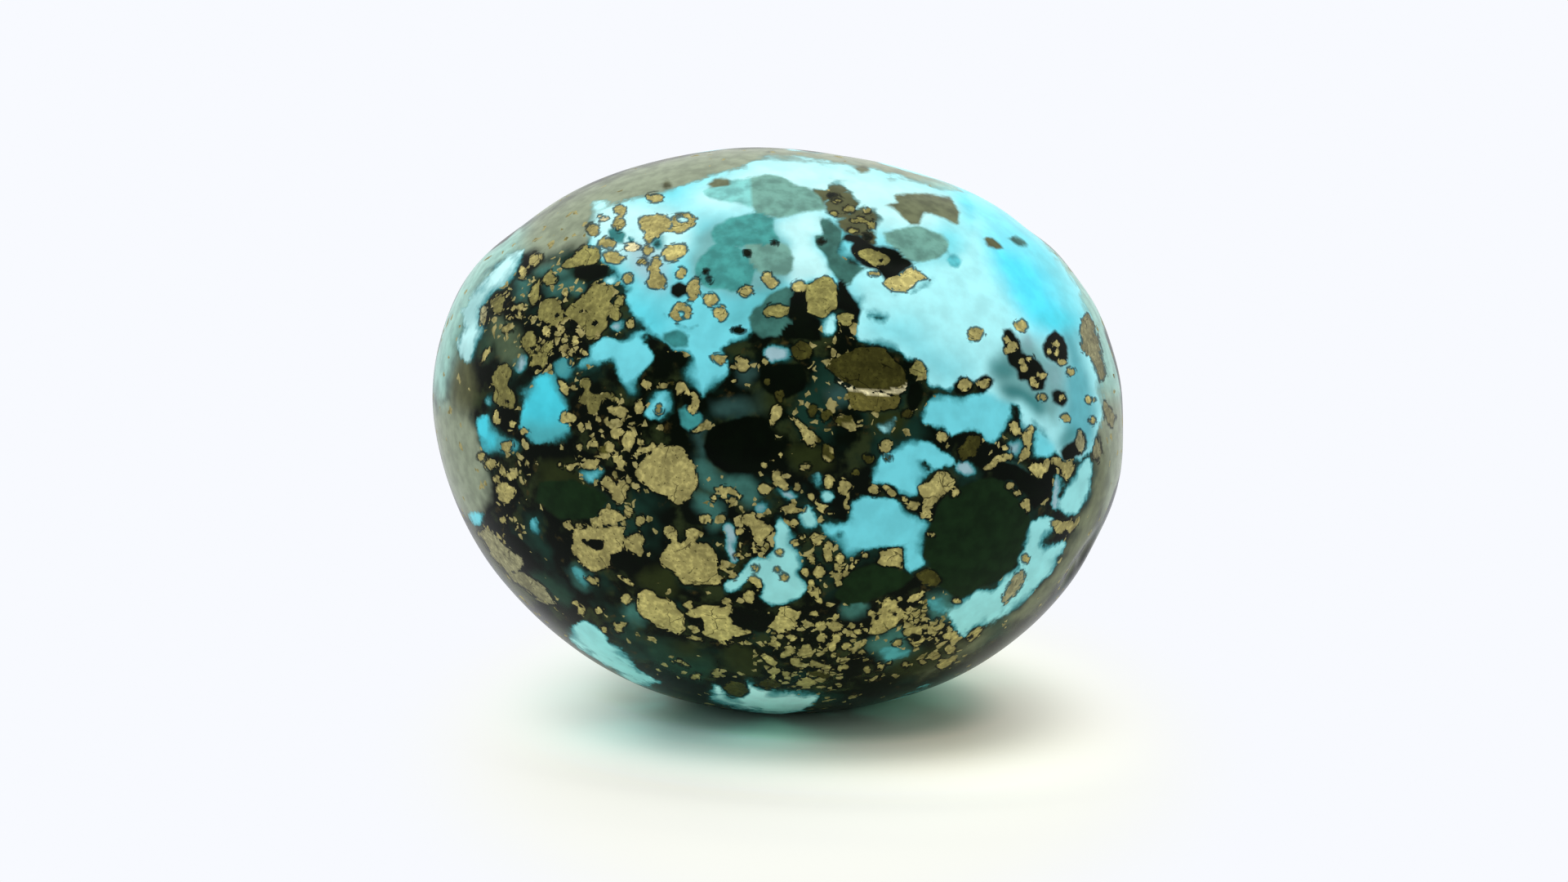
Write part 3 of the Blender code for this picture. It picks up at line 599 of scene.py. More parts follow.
# Crystals and patches of bare matrix that lie in the turquoise, by colour.
CRYSTALS = {
    "bottle": {
        "hexagon": [(1151, 612), (1165, 603), (1185, 595), (1205, 588), (1225, 587), (1240, 600),
            (1250, 615), (1262, 635), (1258, 655), (1250, 670), (1245, 690), (1240, 700), (1228, 708),
            (1215, 716), (1200, 720), (1190, 728), (1178, 734), (1165, 730), (1150, 718), (1140, 705),
            (1140, 692), (1129, 680), (1137, 655), (1143, 635)],
        "long_grey": [(1037, 704), (1066, 691), (1104, 698), (1120, 707), (1098, 723), (1060, 738),
            (1040, 745), (1021, 730)],
        "soft_left": [(660, 590), (700, 588), (735, 602), (745, 612), (730, 635), (690, 636), (655, 615)],
    },
    "black": {
        "lens": [(868, 530), (878, 522), (895, 515), (915, 510), (935, 513), (946, 525), (950, 545),
            (946, 562), (935, 575), (915, 583), (893, 582), (875, 573), (864, 560), (860, 548)],
        "small_lens": [(932, 455), (945, 450), (965, 446), (985, 447), (990, 460), (985, 478), (965, 490),
            (945, 485), (932, 475)],
        "left_hollow": [(747, 680), (760, 677), (775, 678), (788, 682), (792, 692), (785, 700), (770, 700),
            (752, 695)],
        "rim_hollow": [(618, 655), (632, 655), (650, 672), (648, 680), (632, 676), (620, 665)],
        "pocket": [(1030, 295), (1045, 300), (1042, 310), (1048, 322), (1062, 328), (1075, 332),
            (1085, 345), (1098, 342), (1110, 330), (1120, 322), (1110, 315), (1095, 306), (1082, 302),
            (1070, 300), (1060, 295), (1050, 288), (1035, 287)],
        "right_notch": [(1195, 552), (1205, 548), (1212, 554), (1208, 566), (1202, 576), (1196, 566)],
        "right_gulf": [(1212, 575), (1225, 566), (1245, 568), (1258, 578), (1272, 588), (1290, 578),
            (1290, 595), (1282, 612), (1268, 625), (1255, 605), (1240, 590), (1222, 588)],
        "base_dark": [(895, 742), (925, 745), (945, 760), (935, 775), (915, 772), (898, 762)],
        "upper_dark": [(822, 350), (832, 345), (843, 350), (843, 362), (830, 366), (820, 360)],
        "fringe_left": [(965, 366), (980, 352), (986, 358), (988, 384), (1004, 392), (1002, 404),
            (1008, 418), (975, 416), (950, 412), (960, 400), (975, 392), (968, 378)],
        "fringe_right": [(1026, 344), (1036, 344), (1038, 356), (1048, 370), (1056, 382), (1050, 398),
            (1046, 386), (1034, 380), (1026, 378)],
        "side_gap": [(1113, 470), (1125, 466), (1132, 480), (1125, 500), (1115, 508), (1110, 490)],
        "left_dark": [(705, 328), (725, 322), (745, 326), (745, 340), (725, 344), (706, 340)],
        "keel_dark": [(1100, 725), (1110, 732), (1112, 745), (1104, 752), (1098, 742)],
        "right_cluster": [(1229, 405), (1238, 403), (1246, 418), (1252, 432), (1262, 438), (1273, 442),
            (1280, 455), (1282, 464), (1278, 477), (1265, 479), (1257, 466), (1248, 466), (1245, 452),
            (1237, 446), (1232, 432), (1227, 420)],
        "right_cluster_two": [(1276, 424), (1283, 410), (1292, 403), (1302, 412), (1308, 425), (1307, 440),
            (1298, 446), (1288, 443), (1279, 434)],
        "right_cluster_three": [(1286, 482), (1292, 477), (1303, 480), (1307, 492), (1303, 500),
            (1294, 496), (1288, 492)],
        "right_cluster_four": [(1298, 552), (1306, 545), (1318, 540), (1326, 528), (1330, 540), (1326, 556),
            (1312, 564), (1300, 562)],
        "twin_rim_left": [(1168, 471), (1178, 461), (1190, 464), (1192, 478), (1180, 484), (1170, 480)],
        "twin_rim_right": [(1195, 478), (1198, 464), (1208, 458), (1218, 466), (1214, 476), (1203, 484)],
        "island_one": [(806, 436), (814, 430), (824, 434), (822, 446), (812, 448)],
        "island_two": [(824, 434), (834, 430), (842, 440), (838, 450), (828, 448)],
    },
    "slate": {
        "grey_window": [(1060, 742), (1050, 750), (1040, 742), (1052, 736)],
        "roof_shade": [(1004, 266), (1018, 270), (1030, 282), (1030, 296), (1026, 312), (1040, 324),
            (1062, 330), (1046, 342), (1040, 352), (1028, 344), (1016, 330), (1010, 312), (1000, 300),
            (998, 290), (1008, 288)],
        "fringe_shade": [(925, 378), (945, 360), (962, 352), (975, 356), (966, 372), (964, 390), (972, 398),
            (955, 412), (935, 414), (922, 405), (918, 390)],
        "spot_right": [(1233, 291), (1243, 289), (1254, 296), (1258, 303), (1248, 301)],
    },
    "teal": {
        "small_lens": [(832, 502), (842, 497), (855, 503), (862, 510), (858, 520), (845, 527), (835, 520)],
        "left_smudge": [(745, 283), (758, 280), (768, 288), (762, 297), (748, 296)],
        "upper_smudge": [(812, 408), (828, 404), (845, 412), (842, 424), (825, 425), (812, 418)],
    },
    "sky_dot": {
        "dot": [(1160, 320), (1164, 312), (1172, 312), (1178, 320), (1174, 328), (1165, 328)],
    },
    "sea": {
        "roof_low": [(876, 276), (894, 267), (915, 262), (930, 260), (948, 268), (946, 280), (953, 290),
            (958, 303), (940, 305), (915, 304), (893, 304), (876, 300), (871, 288)],
        "roof_low_two": [(854, 320), (866, 309), (880, 297), (895, 300), (914, 310), (926, 330), (918, 352),
            (895, 357), (870, 354), (858, 346), (850, 332)],
    },
    "light_sea": {
        "roof_left": [(862, 234), (875, 226), (898, 221), (919, 219), (922, 232), (923, 257), (905, 251),
            (882, 246), (868, 242)],
    },
    "grey_teal": {
        "roof": [(917, 218), (945, 214), (957, 217), (972, 226), (990, 231), (1004, 242), (1012, 256),
            (996, 259), (972, 264), (950, 268), (926, 263), (918, 250)],
        "roof_two": [(914, 298), (950, 297), (964, 301), (972, 316), (972, 332), (962, 338), (935, 337),
            (918, 326)],
        "shoulder": [(1082, 286), (1100, 281), (1125, 277), (1138, 281), (1152, 288), (1162, 299),
            (1161, 309), (1150, 318), (1130, 322), (1112, 318), (1098, 308), (1086, 300)],
    },
    "brown": {
        "lens_chip": [(1122, 705), (1135, 697), (1148, 702), (1152, 712), (1145, 718), (1130, 715)],
        "spot_left": [(1204, 292), (1214, 290), (1224, 297), (1230, 305), (1220, 308), (1208, 302)],
        "band_spot": [(812, 226), (818, 222), (824, 228), (820, 234), (813, 232)],
    },
    "khaki": {
        "roof_star": [(1085, 252), (1100, 248), (1095, 240), (1110, 238), (1125, 237), (1150, 240),
            (1165, 242), (1170, 254), (1176, 262), (1173, 276), (1160, 270), (1145, 265), (1130, 262),
            (1126, 276), (1115, 276), (1105, 262), (1096, 256)],
        "band_chip": [(866, 226), (876, 218), (890, 218), (898, 222), (894, 230), (878, 232)],
        "roof_edge": [(1045, 205), (1060, 202), (1066, 210), (1052, 214)],
    },
}

# Soft-edged hazes of other colours in the matrix, most of them along the rim. The pale greys along the rim
# and the top are painted sheen: the pale surround reflected on the stone at a slant.
HAZES_AND_SHEEN = {
    # Painted sheen along the rim.
    "painted_sheen_pale": {
        "left_rim": [(643, 278), (655, 286), (640, 302), (620, 315), (602, 330), (585, 350), (574, 375),
            (566, 400), (560, 430), (552, 452), (546, 490), (533, 492), (526, 440), (530, 400), (545, 355),
            (565, 320), (590, 294), (620, 276)],
        "right_rim": [(1262, 270), (1300, 300), (1345, 345), (1365, 380), (1382, 420), (1384, 480),
            (1372, 500), (1350, 490), (1328, 450), (1318, 415), (1300, 375), (1280, 335), (1255, 300)],
        "roof_rim": [(1128, 214), (1150, 216), (1185, 228), (1190, 262), (1150, 262), (1126, 250)],
    },
    # Painted sheen across the top band and down the rims.
    "painted_sheen_grey": {
        "left_band": [(640, 305), (665, 312), (690, 308), (712, 300), (735, 290), (748, 278), (760, 270),
            (785, 262), (810, 258), (830, 252), (850, 244), (880, 232), (905, 224), (935, 214), (945, 180),
            (900, 176), (850, 182), (800, 196), (750, 216), (700, 240), (660, 264), (640, 280), (622, 296)],
        "left_rim_low": [(534, 492), (552, 490), (575, 512), (590, 545), (594, 575), (598, 602), (592, 620),
            (576, 640), (560, 622), (546, 590), (536, 550), (528, 520)],
        "right_rim_low": [(1330, 470), (1360, 475), (1384, 480), (1386, 540), (1378, 600), (1360, 650),
            (1348, 640), (1356, 600), (1350, 560), (1346, 520)],
        "top_strip": [(940, 172), (985, 174), (1020, 178), (1060, 186), (1105, 200), (1140, 214),
            (1180, 232), (1170, 250), (1130, 244), (1100, 236), (1060, 226), (1015, 216), (940, 212)],
    },
    # Painted sheen, greener, at the top band and the left rim.
    "painted_sheen_green": {
        "band_right": [(855, 196), (880, 184), (938, 180), (935, 196), (905, 208), (880, 214), (860, 212)],
        "left_rim_eye": [(545, 392), (555, 386), (566, 392), (569, 405), (564, 422), (553, 432),
            (543, 420)],
    },
    "slate": {
        "left_window": [(668, 350), (685, 345), (700, 340), (712, 348), (708, 358), (695, 352), (688, 358),
            (676, 362)],
        "left_window_two": [(634, 345), (642, 344), (648, 352), (644, 366), (638, 372), (632, 360)],
        "left_window_three": [(655, 330), (670, 322), (690, 328), (700, 336), (688, 342), (665, 338)],
        "edge_dash": [(1212, 440), (1230, 436), (1245, 445), (1243, 462), (1225, 470), (1214, 462)],
        "keel_window": [(1060, 790), (1085, 776), (1104, 770), (1112, 784), (1118, 798), (1100, 812),
            (1080, 812)],
        "keel_window_two": [(1140, 728), (1155, 730), (1168, 742), (1165, 755), (1150, 762), (1138, 750)],
        "lower_window": [(1062, 745), (1045, 760), (1030, 745), (1050, 735)],
        "left_low_window": [(695, 697), (705, 690), (715, 698), (722, 712), (718, 722), (706, 712)],
        "under_lens": [(852, 560), (862, 565), (875, 578), (895, 585), (920, 585), (932, 592), (930, 612),
            (915, 620), (905, 612), (880, 600), (862, 598)],
        "low_teal": [(765, 738), (782, 740), (792, 755), (785, 768), (772, 762), (764, 750)],
        "right_hollow": [(1228, 568), (1245, 568), (1256, 580), (1250, 590), (1235, 586)],
        "middle_window": [(850, 600), (870, 605), (890, 625), (880, 650), (864, 640), (852, 620)],
    },
    "dusk": {
        "over_lens": [(872, 498), (890, 489), (915, 490), (930, 500), (922, 510), (895, 510), (876, 507)],
        "lens_left": [(850, 525), (858, 512), (867, 518), (861, 540), (865, 558), (856, 560), (848, 545)],
        "leaf_left": [(905, 448), (915, 440), (925, 452), (925, 466), (915, 474), (906, 463)],
        "face_under": [(1010, 478), (1025, 471), (1042, 478), (1043, 490), (1028, 495), (1014, 489)],
    },
    "grey_green": {
        "left_wall": [(600, 392), (618, 390), (632, 402), (640, 425), (642, 445), (628, 448), (610, 440),
            (598, 420)],
    },
    "dark_olive": {
        "left_cloud": [(655, 568), (690, 560), (722, 590), (735, 610), (700, 630), (668, 615)],
        "middle_cloud": [(790, 700), (815, 695), (835, 712), (820, 735), (795, 728), (782, 712)],
        "centre_cloud": [(925, 478), (948, 474), (962, 486), (958, 502), (936, 508), (922, 496)],
        "right_cloud": [(965, 550), (1000, 545), (1020, 560), (1015, 580), (985, 582), (968, 570)],
        "upper_cloud": [(1060, 505), (1090, 500), (1115, 515), (1100, 535), (1070, 530)],
        "keel_cloud": [(1085, 800), (1130, 795), (1180, 788), (1165, 815), (1120, 830), (1085, 825)],
        "low_veil": [(805, 792), (835, 788), (860, 800), (868, 812), (850, 822), (820, 815)],
        "low_cloud": [(885, 785), (915, 790), (935, 815), (915, 830), (885, 815)],
    },
    "deep_slate": {
        "edge_wall": [(590, 405), (600, 400), (606, 425), (598, 445), (586, 440)],
        "low_wall": [(650, 700), (675, 705), (700, 730), (695, 745), (670, 730), (650, 715)],
        "keel": [(790, 785), (830, 790), (860, 800), (880, 815), (860, 832), (820, 822), (795, 805)],
        "right_keel": [(1210, 768), (1235, 752), (1252, 748), (1240, 765), (1215, 785), (1195, 800)],
    },
    "brown": {
        "roof_mottle": [(985, 226), (1008, 220), (1030, 224), (1048, 238), (1066, 250), (1082, 268),
            (1084, 288), (1070, 304), (1050, 304), (1034, 300), (1018, 272), (1000, 250)],
        "left_rim": [(556, 440), (566, 432), (576, 440), (580, 470), (578, 490), (575, 508), (562, 512),
            (552, 490), (552, 460)],
        "left_low": [(570, 640), (590, 650), (610, 680), (640, 712), (660, 740), (640, 735), (612, 705),
            (590, 675)],
    },
    "khaki": {
        "right_band": [(1345, 530), (1352, 540), (1360, 560), (1358, 590), (1350, 620), (1338, 650),
            (1322, 680), (1300, 710), (1275, 738), (1250, 758), (1225, 775), (1195, 795), (1165, 812),
            (1140, 825), (1120, 835), (1135, 820), (1160, 803), (1190, 785), (1215, 768), (1240, 750),
            (1262, 735), (1285, 712), (1302, 688), (1315, 665), (1322, 640), (1335, 612), (1345, 580),
            (1342, 555)],
        "top_brown": [(1045, 196), (1075, 200), (1110, 214), (1100, 220), (1070, 210), (1045, 204)],
    },
}

# Grain-rich areas as (x, y, half width, half height, share of the area that is fine pyrite).
GRAIN_CLUSTERS = [(995, 798, 70, 55, 0.45), (745, 565, 48, 78, 0.45), (680, 385, 85, 85, 0.40),
    (1015, 685, 28, 38, 0.45), (1130, 765, 42, 38, 0.40), (1030, 480, 85, 85, 0.22),
    (925, 645, 68, 58, 0.34), (625, 648, 28, 16, 0.35), (1270, 438, 42, 34, 0.45), (860, 720, 60, 60, 0.15),
    (620, 580, 40, 50, 0.25), (1250, 560, 50, 40, 0.15)]


def linear(code):
    """An sRGB hex colour as linear red, green, blue and full alpha."""
    parts = [int(code[i : i + 2], 16) / 255 for i in (1, 3, 5)]
    return tuple(c / 12.92 if c <= 0.04045 else ((c + 0.055) / 1.055) ** 2.4 for c in parts) + (1.0,)


# Colours that aren't repeated out of sight: a black crystal there would read as a hole, and
# these pale greys are painted sheen, the pale surround reflected on the stone's rim at a slant.
NOT_STAMPED = [CRYSTAL_COLOURS[name] for name in ("black", "painted_sheen_pale", "painted_sheen_grey", "painted_sheen_green")]


# The skin

CUTS = (3, 3, 7)  # 4 x 4 x 8 = 128 cells along each side of the cube
FORWARD_PULL = 0.3  # crowds the cells towards the side that the photo shows
SMOOTH_PASSES = 6
SMOOTH_FACTOR = 0.5
GUIDE_LEVELS = 2


def numbers(mesh, layer="co"):
    """The place or normal of every vertex, as an array."""
    values = np.empty(len(mesh.vertices) * 3)
    mesh.vertices.foreach_get(layer, values)
    return values.reshape(-1, 3)


def deselect_all():
    bpy.ops.object.select_all(action="DESELECT")


def fine_ball():
    """A cube cut into an even grid and blown up to a ball, finest towards the photo's side."""
    deselect_all()
    bpy.ops.mesh.primitive_cube_add(size=2.0)
    ball = bpy.context.object
    bpy.ops.object.mode_set(mode="EDIT")
    for cuts in CUTS:
        bpy.ops.mesh.select_all(action="SELECT")
        bpy.ops.mesh.subdivide(number_cuts=cuts)
    bpy.ops.object.mode_set(mode="OBJECT")
    ways = np.tan(numbers(ball.data) * math.pi / 4)
    ways /= np.linalg.norm(ways, axis=1)[:, None]
    ways[:, 1] -= FORWARD_PULL
    ways /= np.linalg.norm(ways, axis=1)[:, None]
    ball.data.vertices.foreach_set("co", ways.ravel())
    return ball


def smooth_guide(node):
    """A copy of the CAD stone with its facets rounded, for the fine skin to lie on."""
    guide = node.copy()
    guide.data = node.data.copy()
    guide.parent = None
    # The copy loses what marks it as a CAD node.
    for key in list(guide.keys()):
        del guide[key]
    bpy.context.scene.collection.objects.link(guide)
    deselect_all()
    guide.select_set(True)
    bpy.context.view_layer.objects.active = guide
    bpy.ops.object.mode_set(mode="EDIT")
    bpy.ops.mesh.select_all(action="SELECT")
    bpy.ops.mesh.remove_doubles(threshold=1e-6)
    bpy.ops.mesh.tris_convert_to_quads()
    bpy.ops.object.mode_set(mode="OBJECT")
    rounding = guide.modifiers.new("rounding", "SUBSURF")
    rounding.levels = GUIDE_LEVELS
    rounding.render_levels = GUIDE_LEVELS
    bpy.ops.object.modifier_apply(modifier=rounding.name)
    return guide


def fit_skin(ball, guide, box):
    """Lays the ball's cells over the guide."""
    low, high = (np.array(corner) for corner in box)
    ways = numbers(ball.data)
    ball.data.vertices.foreach_set("co", ((low + high) / 2 + ways * (high - low) / 2).ravel())
    deselect_all()
    ball.select_set(True)
    bpy.context.view_layer.objects.active = ball
    fitting = ball.modifiers.new("fitting", "SHRINKWRAP")
    fitting.target = guide
    bpy.ops.object.modifier_apply(modifier=fitting.name)
    easing = ball.modifiers.new("easing", "SMOOTH")
    easing.factor = SMOOTH_FACTOR
    easing.iterations = SMOOTH_PASSES
    bpy.ops.object.modifier_apply(modifier=easing.name)


# The markings

CORNER_CUT = 0.25  # share of each side that rounding cuts off at both ends
FAR = 1.6  # millimetres past which a shape's edge no longer matters
RIM_FACING = 0.05  # how squarely the skin faces the camera where the drawn markings give out
RIM_SLOPE = 8.0  # how fast, in millimetres of depth for each step of that facing
WARPS = ((0.9, 0.16), (0.35, 0.06))  # wavelength and reach of the uneven edges, in millimetres
FRINGE_LENGTH = 2.6  # millimetres from wave to wave of the line where drawn markings give out
FRINGE_REACH = 0.30  # how far that line wanders, in steps of facing
FRINGE_SWAY = 3.0  # millimetres that drawn edges sway at the rim, so that none runs back straight
EDGE_ON = (RIM_FACING + 0.1, 0.3)  # the facing where that sway sets in, and the step to full sway
GRAIN_WARP_SHARE = 0.35  # grains have crisper edges, so less of the warp
TINT_LENGTH = 6.0  # millimetres from wave to wave of the tint out of sight
LARGEST_STAMP_PX = 250  # shapes wider or taller than this aren't repeated out of sight
HIDDEN_FACING = RIM_FACING - 0.1  # a stamp's middle lies where the skin faces less squarely
STAMP_FACING = 0.5  # a stamp reaches no place that faces more squarely
CORNER_REACH = 1.5  # no corner of an outline lies farther out than this many times its half size
STAMP_OVERLAP = 0.06  # how far stamps run in under the drawn shapes, in steps of facing
TINT_CONTRAST = 1.6
TINT_STEP = 0.15  # the step of facing over which that tint sets in
HAZE_SOFTENING = 30  # rounds of evening out the hazes' colours between neighbouring vertices
BLUE_SOFTENING = 3
WASH_ROUNDING = 2
SEED = 11

# How each marking is laid: how often its corners are cut, its share of the uneven edges, how many
# stamps it gets out of sight, their sizes, its shades, and the facing where drawn shapes give out.
HAZE_LAY = {"rounding": 2, "warp_share": 1.0, "stamps": 80, "sizes": (0.9, 1.8), "rim": -0.05}
BLUE_LAY = {"rounding": 2, "warp_share": 1.0, "stamps": 140, "sizes": (0.8, 1.8), "rim": -0.05}
CRYSTAL_LAY = {"warp_share": 0.6, "stamps": 55, "sizes": (0.8, 1.3), "shades": (0.9, 1.1)}
GRAIN_LAY = {
    "warp_share": GRAIN_WARP_SHARE,
    "stamps": 150,
    "sizes": (0.6, 1.2),
    "shades": (0.75, 1.1),
}
SMALL_STAMPS = 420
SMALL_STAMP_PX = ((3, 8), (3, 7))  # half widths and half heights

# Small grains and holes: the half width from which one counts as large, how many corners the
# small and the large ones have, how far a corner moves round as a share of a side, and how far
# out it lies as a share of the half width.
LARGE_LUMP_PX = 6
SMALL_LUMP_CORNERS = 7
LARGE_LUMP_CORNERS = 10
LUMP_SHIFT = 0.25
LUMP_REACH = (0.85, 1.15)

# Fine pyrite: its share of the skin everywhere, and the clusters out of sight.
SPARSE = 0.05
CLUSTER_FACING = 0.1  # drawn clusters lie where the skin faces more squarely, the others less
HIDDEN_CLUSTERS = 34
HIDDEN_CLUSTER_MM = (1.5, 3.5)
HIDDEN_CLUSTER_SHARE = 0.42


def photo_place(places):
    """Where places in metres fall in the photo, in its pixels."""
    offset = places - STONE_MIDDLE
    scale = FOCAL_PX / (CAMERA_DISTANCE - offset @ AWAY)
    return STONE_MIDDLE_PX[0] + scale * (offset @ ACROSS), STONE_MIDDLE_PX[1] - scale * (offset @ UP)


def rounded(outline, times):
    """The outline with its corners cut, as many times as asked."""
    points = np.array(outline, float)
    for _ in range(times):
        following = np.roll(points, -1, axis=0)
        near, far = 1 - CORNER_CUT, CORNER_CUT
        cut = [points * near + following * far, points * far + following * near]
        points = np.stack(cut, axis=1).reshape(-1, 2)
    return points


def depth_in(x, y, outline):
    """How far each point lies inside a closed outline; outside it is minus the distance."""
    nearest = np.full(len(x), np.inf)
    inside = np.zeros(len(x), bool)
    for (x0, y0), (x1, y1) in zip(outline, np.roll(outline, -1, axis=0)):
        run, rise = x1 - x0, y1 - y0
        along = np.clip(((x - x0) * run + (y - y0) * rise) / (run * run + rise * rise + 1e-9), 0, 1)
        nearest = np.minimum(nearest, (x - x0 - along * run) ** 2 + (y - y0 - along * rise) ** 2)
        if y0 != y1:
            inside ^= ((y0 > y) != (y1 > y)) & (x < x0 + (y - y0) * run / rise)
    return np.where(inside, 1, -1) * np.sqrt(nearest)


def lump_outline(lump, rng):
    """The uneven outline of a small grain or hole."""
    x, y, wide = lump[:3]
    high = lump[3] if len(lump) > 3 else wide
    corners = SMALL_LUMP_CORNERS if wide < LARGE_LUMP_PX else LARGE_LUMP_CORNERS
    shift = rng.uniform(-LUMP_SHIFT, LUMP_SHIFT, corners)
    angles = (np.arange(corners) + shift) * 2 * math.pi / corners
    reach = rng.uniform(*LUMP_REACH, corners)
    return np.column_stack([x + wide * reach * np.cos(angles), y + high * reach * np.sin(angles)])


class Skin:
    """The skin's places, how squarely they face the camera, and the ways to lay a marking on it."""

    def __init__(self, mesh):
        self.places = numbers(mesh)
        self.normals = numbers(mesh, "normal")
        sight = self.places - (STONE_MIDDLE + AWAY * CAMERA_DISTANCE)
        sight /= np.linalg.norm(sight, axis=1)[:, None]
        self.facing = -(self.normals * sight).sum(axis=1)
        noise.seed_set(SEED)
        warp = np.zeros_like(self.places)
        for length, reach in WARPS:
            points = self.places / (length * MM)
            warp += np.array([noise.noise_vector(point) for point in points]) * reach
        self.warp = warp * MM
        fringe = self.places / (FRINGE_LENGTH * MM)
        sway = np.array([noise.noise_vector(point) for point in fringe])
        edge_on = np.clip((EDGE_ON[0] - self.facing) / EDGE_ON[1], 0, 1)[:, None]
        self.drawn_warp = self.warp + sway * edge_on * FRINGE_SWAY * MM
        # The facing that drawn markings give out by, uneven so that their ends make no clean line.
        wander = [noise.noise(point) for point in fringe]
        self.turned = self.facing + FRINGE_REACH * np.array(wander)
        self.rng = np.random.default_rng(SEED)
        self.back = np.flatnonzero(self.facing < HIDDEN_FACING)

    def field(self, colour, shades, rim):
        """A new marking: nothing of it anywhere yet. Its shapes differ in shade by the range given,
        and the drawn ones give out where the skin faces the camera less squarely than the rim."""
        count = len(self.places)
        colours = np.tile(linear(colour), (count, 1))
        return {"depth": np.full(count, -FAR), "colour": colours, "shades": shades, "rim": rim}

    def draw(self, field, outline, colour, warp_share=1.0, hollow=False):
        """Lays a shape drawn in the photo's pixels on the side that the photo shows."""
        x, y = photo_place(self.places + self.drawn_warp * warp_share)
        reach = FAR * PX_PER_MM
        low, high = outline.min(axis=0) - reach, outline.max(axis=0) + reach
        near = (x > low[0]) & (x < high[0]) & (y > low[1]) & (y < high[1])
        near = np.flatnonzero(near & (self.facing > field["rim"] - FRINGE_REACH))
        depth = depth_in(x[near], y[near], outline) / PX_PER_MM
        depth = np.minimum(depth, (self.turned[near] - field["rim"]) * RIM_SLOPE)
        self.merge(field, near, depth, colour, hollow)

    def stamp(self, field, outline, colour, warp_share):
        """Lays a shape, drawn in pixels about (0, 0), somewhere on the sides out of sight."""
        centre = self.rng.choice(self.back)
        turn = self.rng.uniform(0, 2 * math.pi)
        normal = self.normals[centre]
        level = np.cross(normal, (0.3, 0.2, 0.93))  # nearly upright, so level is seldom short
        level /= np.linalg.norm(level)
        steep = np.cross(normal, level)
        first = level * math.cos(turn) + steep * math.sin(turn)
        second = np.cross(normal, first)
        offset = (self.places + self.warp * warp_share - self.places[centre]) / MM * PX_PER_MM
        reach = np.abs(outline).max() * CORNER_REACH + FAR * PX_PER_MM
        near = (np.linalg.norm(offset, axis=1) < reach) & (self.facing < STAMP_FACING)
        near = np.flatnonzero(near)
        depth = depth_in(offset[near] @ first, offset[near] @ second, outline) / PX_PER_MM
        room = field["rim"] + STAMP_OVERLAP - self.turned[near]
        depth = np.minimum(depth, room * RIM_SLOPE)
        self.merge(field, near, depth, colour)

    def wash(self, field, outline, colour, softness, strength):
        """Tints a marking softly inside an outline drawn in the photo's pixels."""
        x, y = photo_place(self.places + self.drawn_warp)
        depth = depth_in(x, y, outline) / PX_PER_MM
        share = np.clip(depth / softness * 0.5 + 0.5, 0, 1) * (self.facing > 0)
        share = (strength * share * share * (3 - 2 * share))[:, None]
        field["colour"] += (np.array(linear(colour)) - field["colour"]) * share

    def merge(self, field, near, depth, colour, hollow=False):
        """Adds a shape to a marking where it is deeper than what is there, or cuts it out."""
        if hollow:
            field["depth"][near] = np.minimum(field["depth"][near], -depth)
            return
        deeper = depth > field["depth"][near]
        field["depth"][near[deeper]] = depth[deeper]
        field["colour"][near[deeper]] = np.array(linear(colour)) * self.rng.uniform(*field["shades"])


def centred(outline, size, rng):
    """An outline moved to (0, 0), resized, and mirrored half of the time."""
    points = (outline - outline.mean(axis=0)) * size
    return points * (rng.choice((-1, 1)), 1)


def lay_shapes(
    skin, shapes, colours, warp_share, stamps, sizes, rounding=0, shades=(1, 1), rim=RIM_FACING
):
    """Draws every shape of a marking, then stamps as many of them as asked out of sight."""
    field = skin.field(next(iter(colours.values())), shades, rim)
    drawn = [
        (rounded(outline, rounding), colours[name])
        for name, group in shapes.items()
        for outline in group.values()
    ]
    for outline, colour in drawn:
        skin.draw(field, outline, colour, warp_share)
    drawn = [
        (outline, colour)
        for outline, colour in drawn
        if np.ptp(outline, axis=0).max() < LARGEST_STAMP_PX and colour not in NOT_STAMPED
    ]
    for _ in range(stamps):
        outline, colour = drawn[skin.rng.integers(len(drawn))]
        skin.stamp(field, centred(outline, skin.rng.uniform(*sizes), skin.rng), colour, warp_share)
    return field


def tint_out_of_sight(skin, field):
    """Gives the turquoise out of sight one tone that drifts slowly from place to place."""
    drift = np.array([noise.noise(point) for point in skin.places / (TINT_LENGTH * MM)])
    share = np.clip(0.5 + TINT_CONTRAST * drift, 0, 1)[:, None]
    low, high = (np.array(linear(BLUES[name])) for name in ("mid", "pale"))
    tone = low + (high - low) * share
    hidden = np.clip((RIM_FACING - skin.turned) / TINT_STEP, 0, 1)[:, None]
    field["colour"] += (tone - field["colour"]) * hidden


def soften(mesh, values, times):
    """Evens out colours between neighbouring vertices, as many times as asked."""
    ends = np.empty(len(mesh.edges) * 2, np.int32)
    mesh.edges.foreach_get("vertices", ends)
    ends = ends.reshape(-1, 2)
    here, there = np.concatenate([ends, ends[:, ::-1]]).T
    neighbours = np.bincount(here)
    for _ in range(times):
        sums = [np.bincount(here, channel[there]) for channel in values.T]
        values = (values + np.array(sums).T / neighbours[:, None]) / 2
    return values


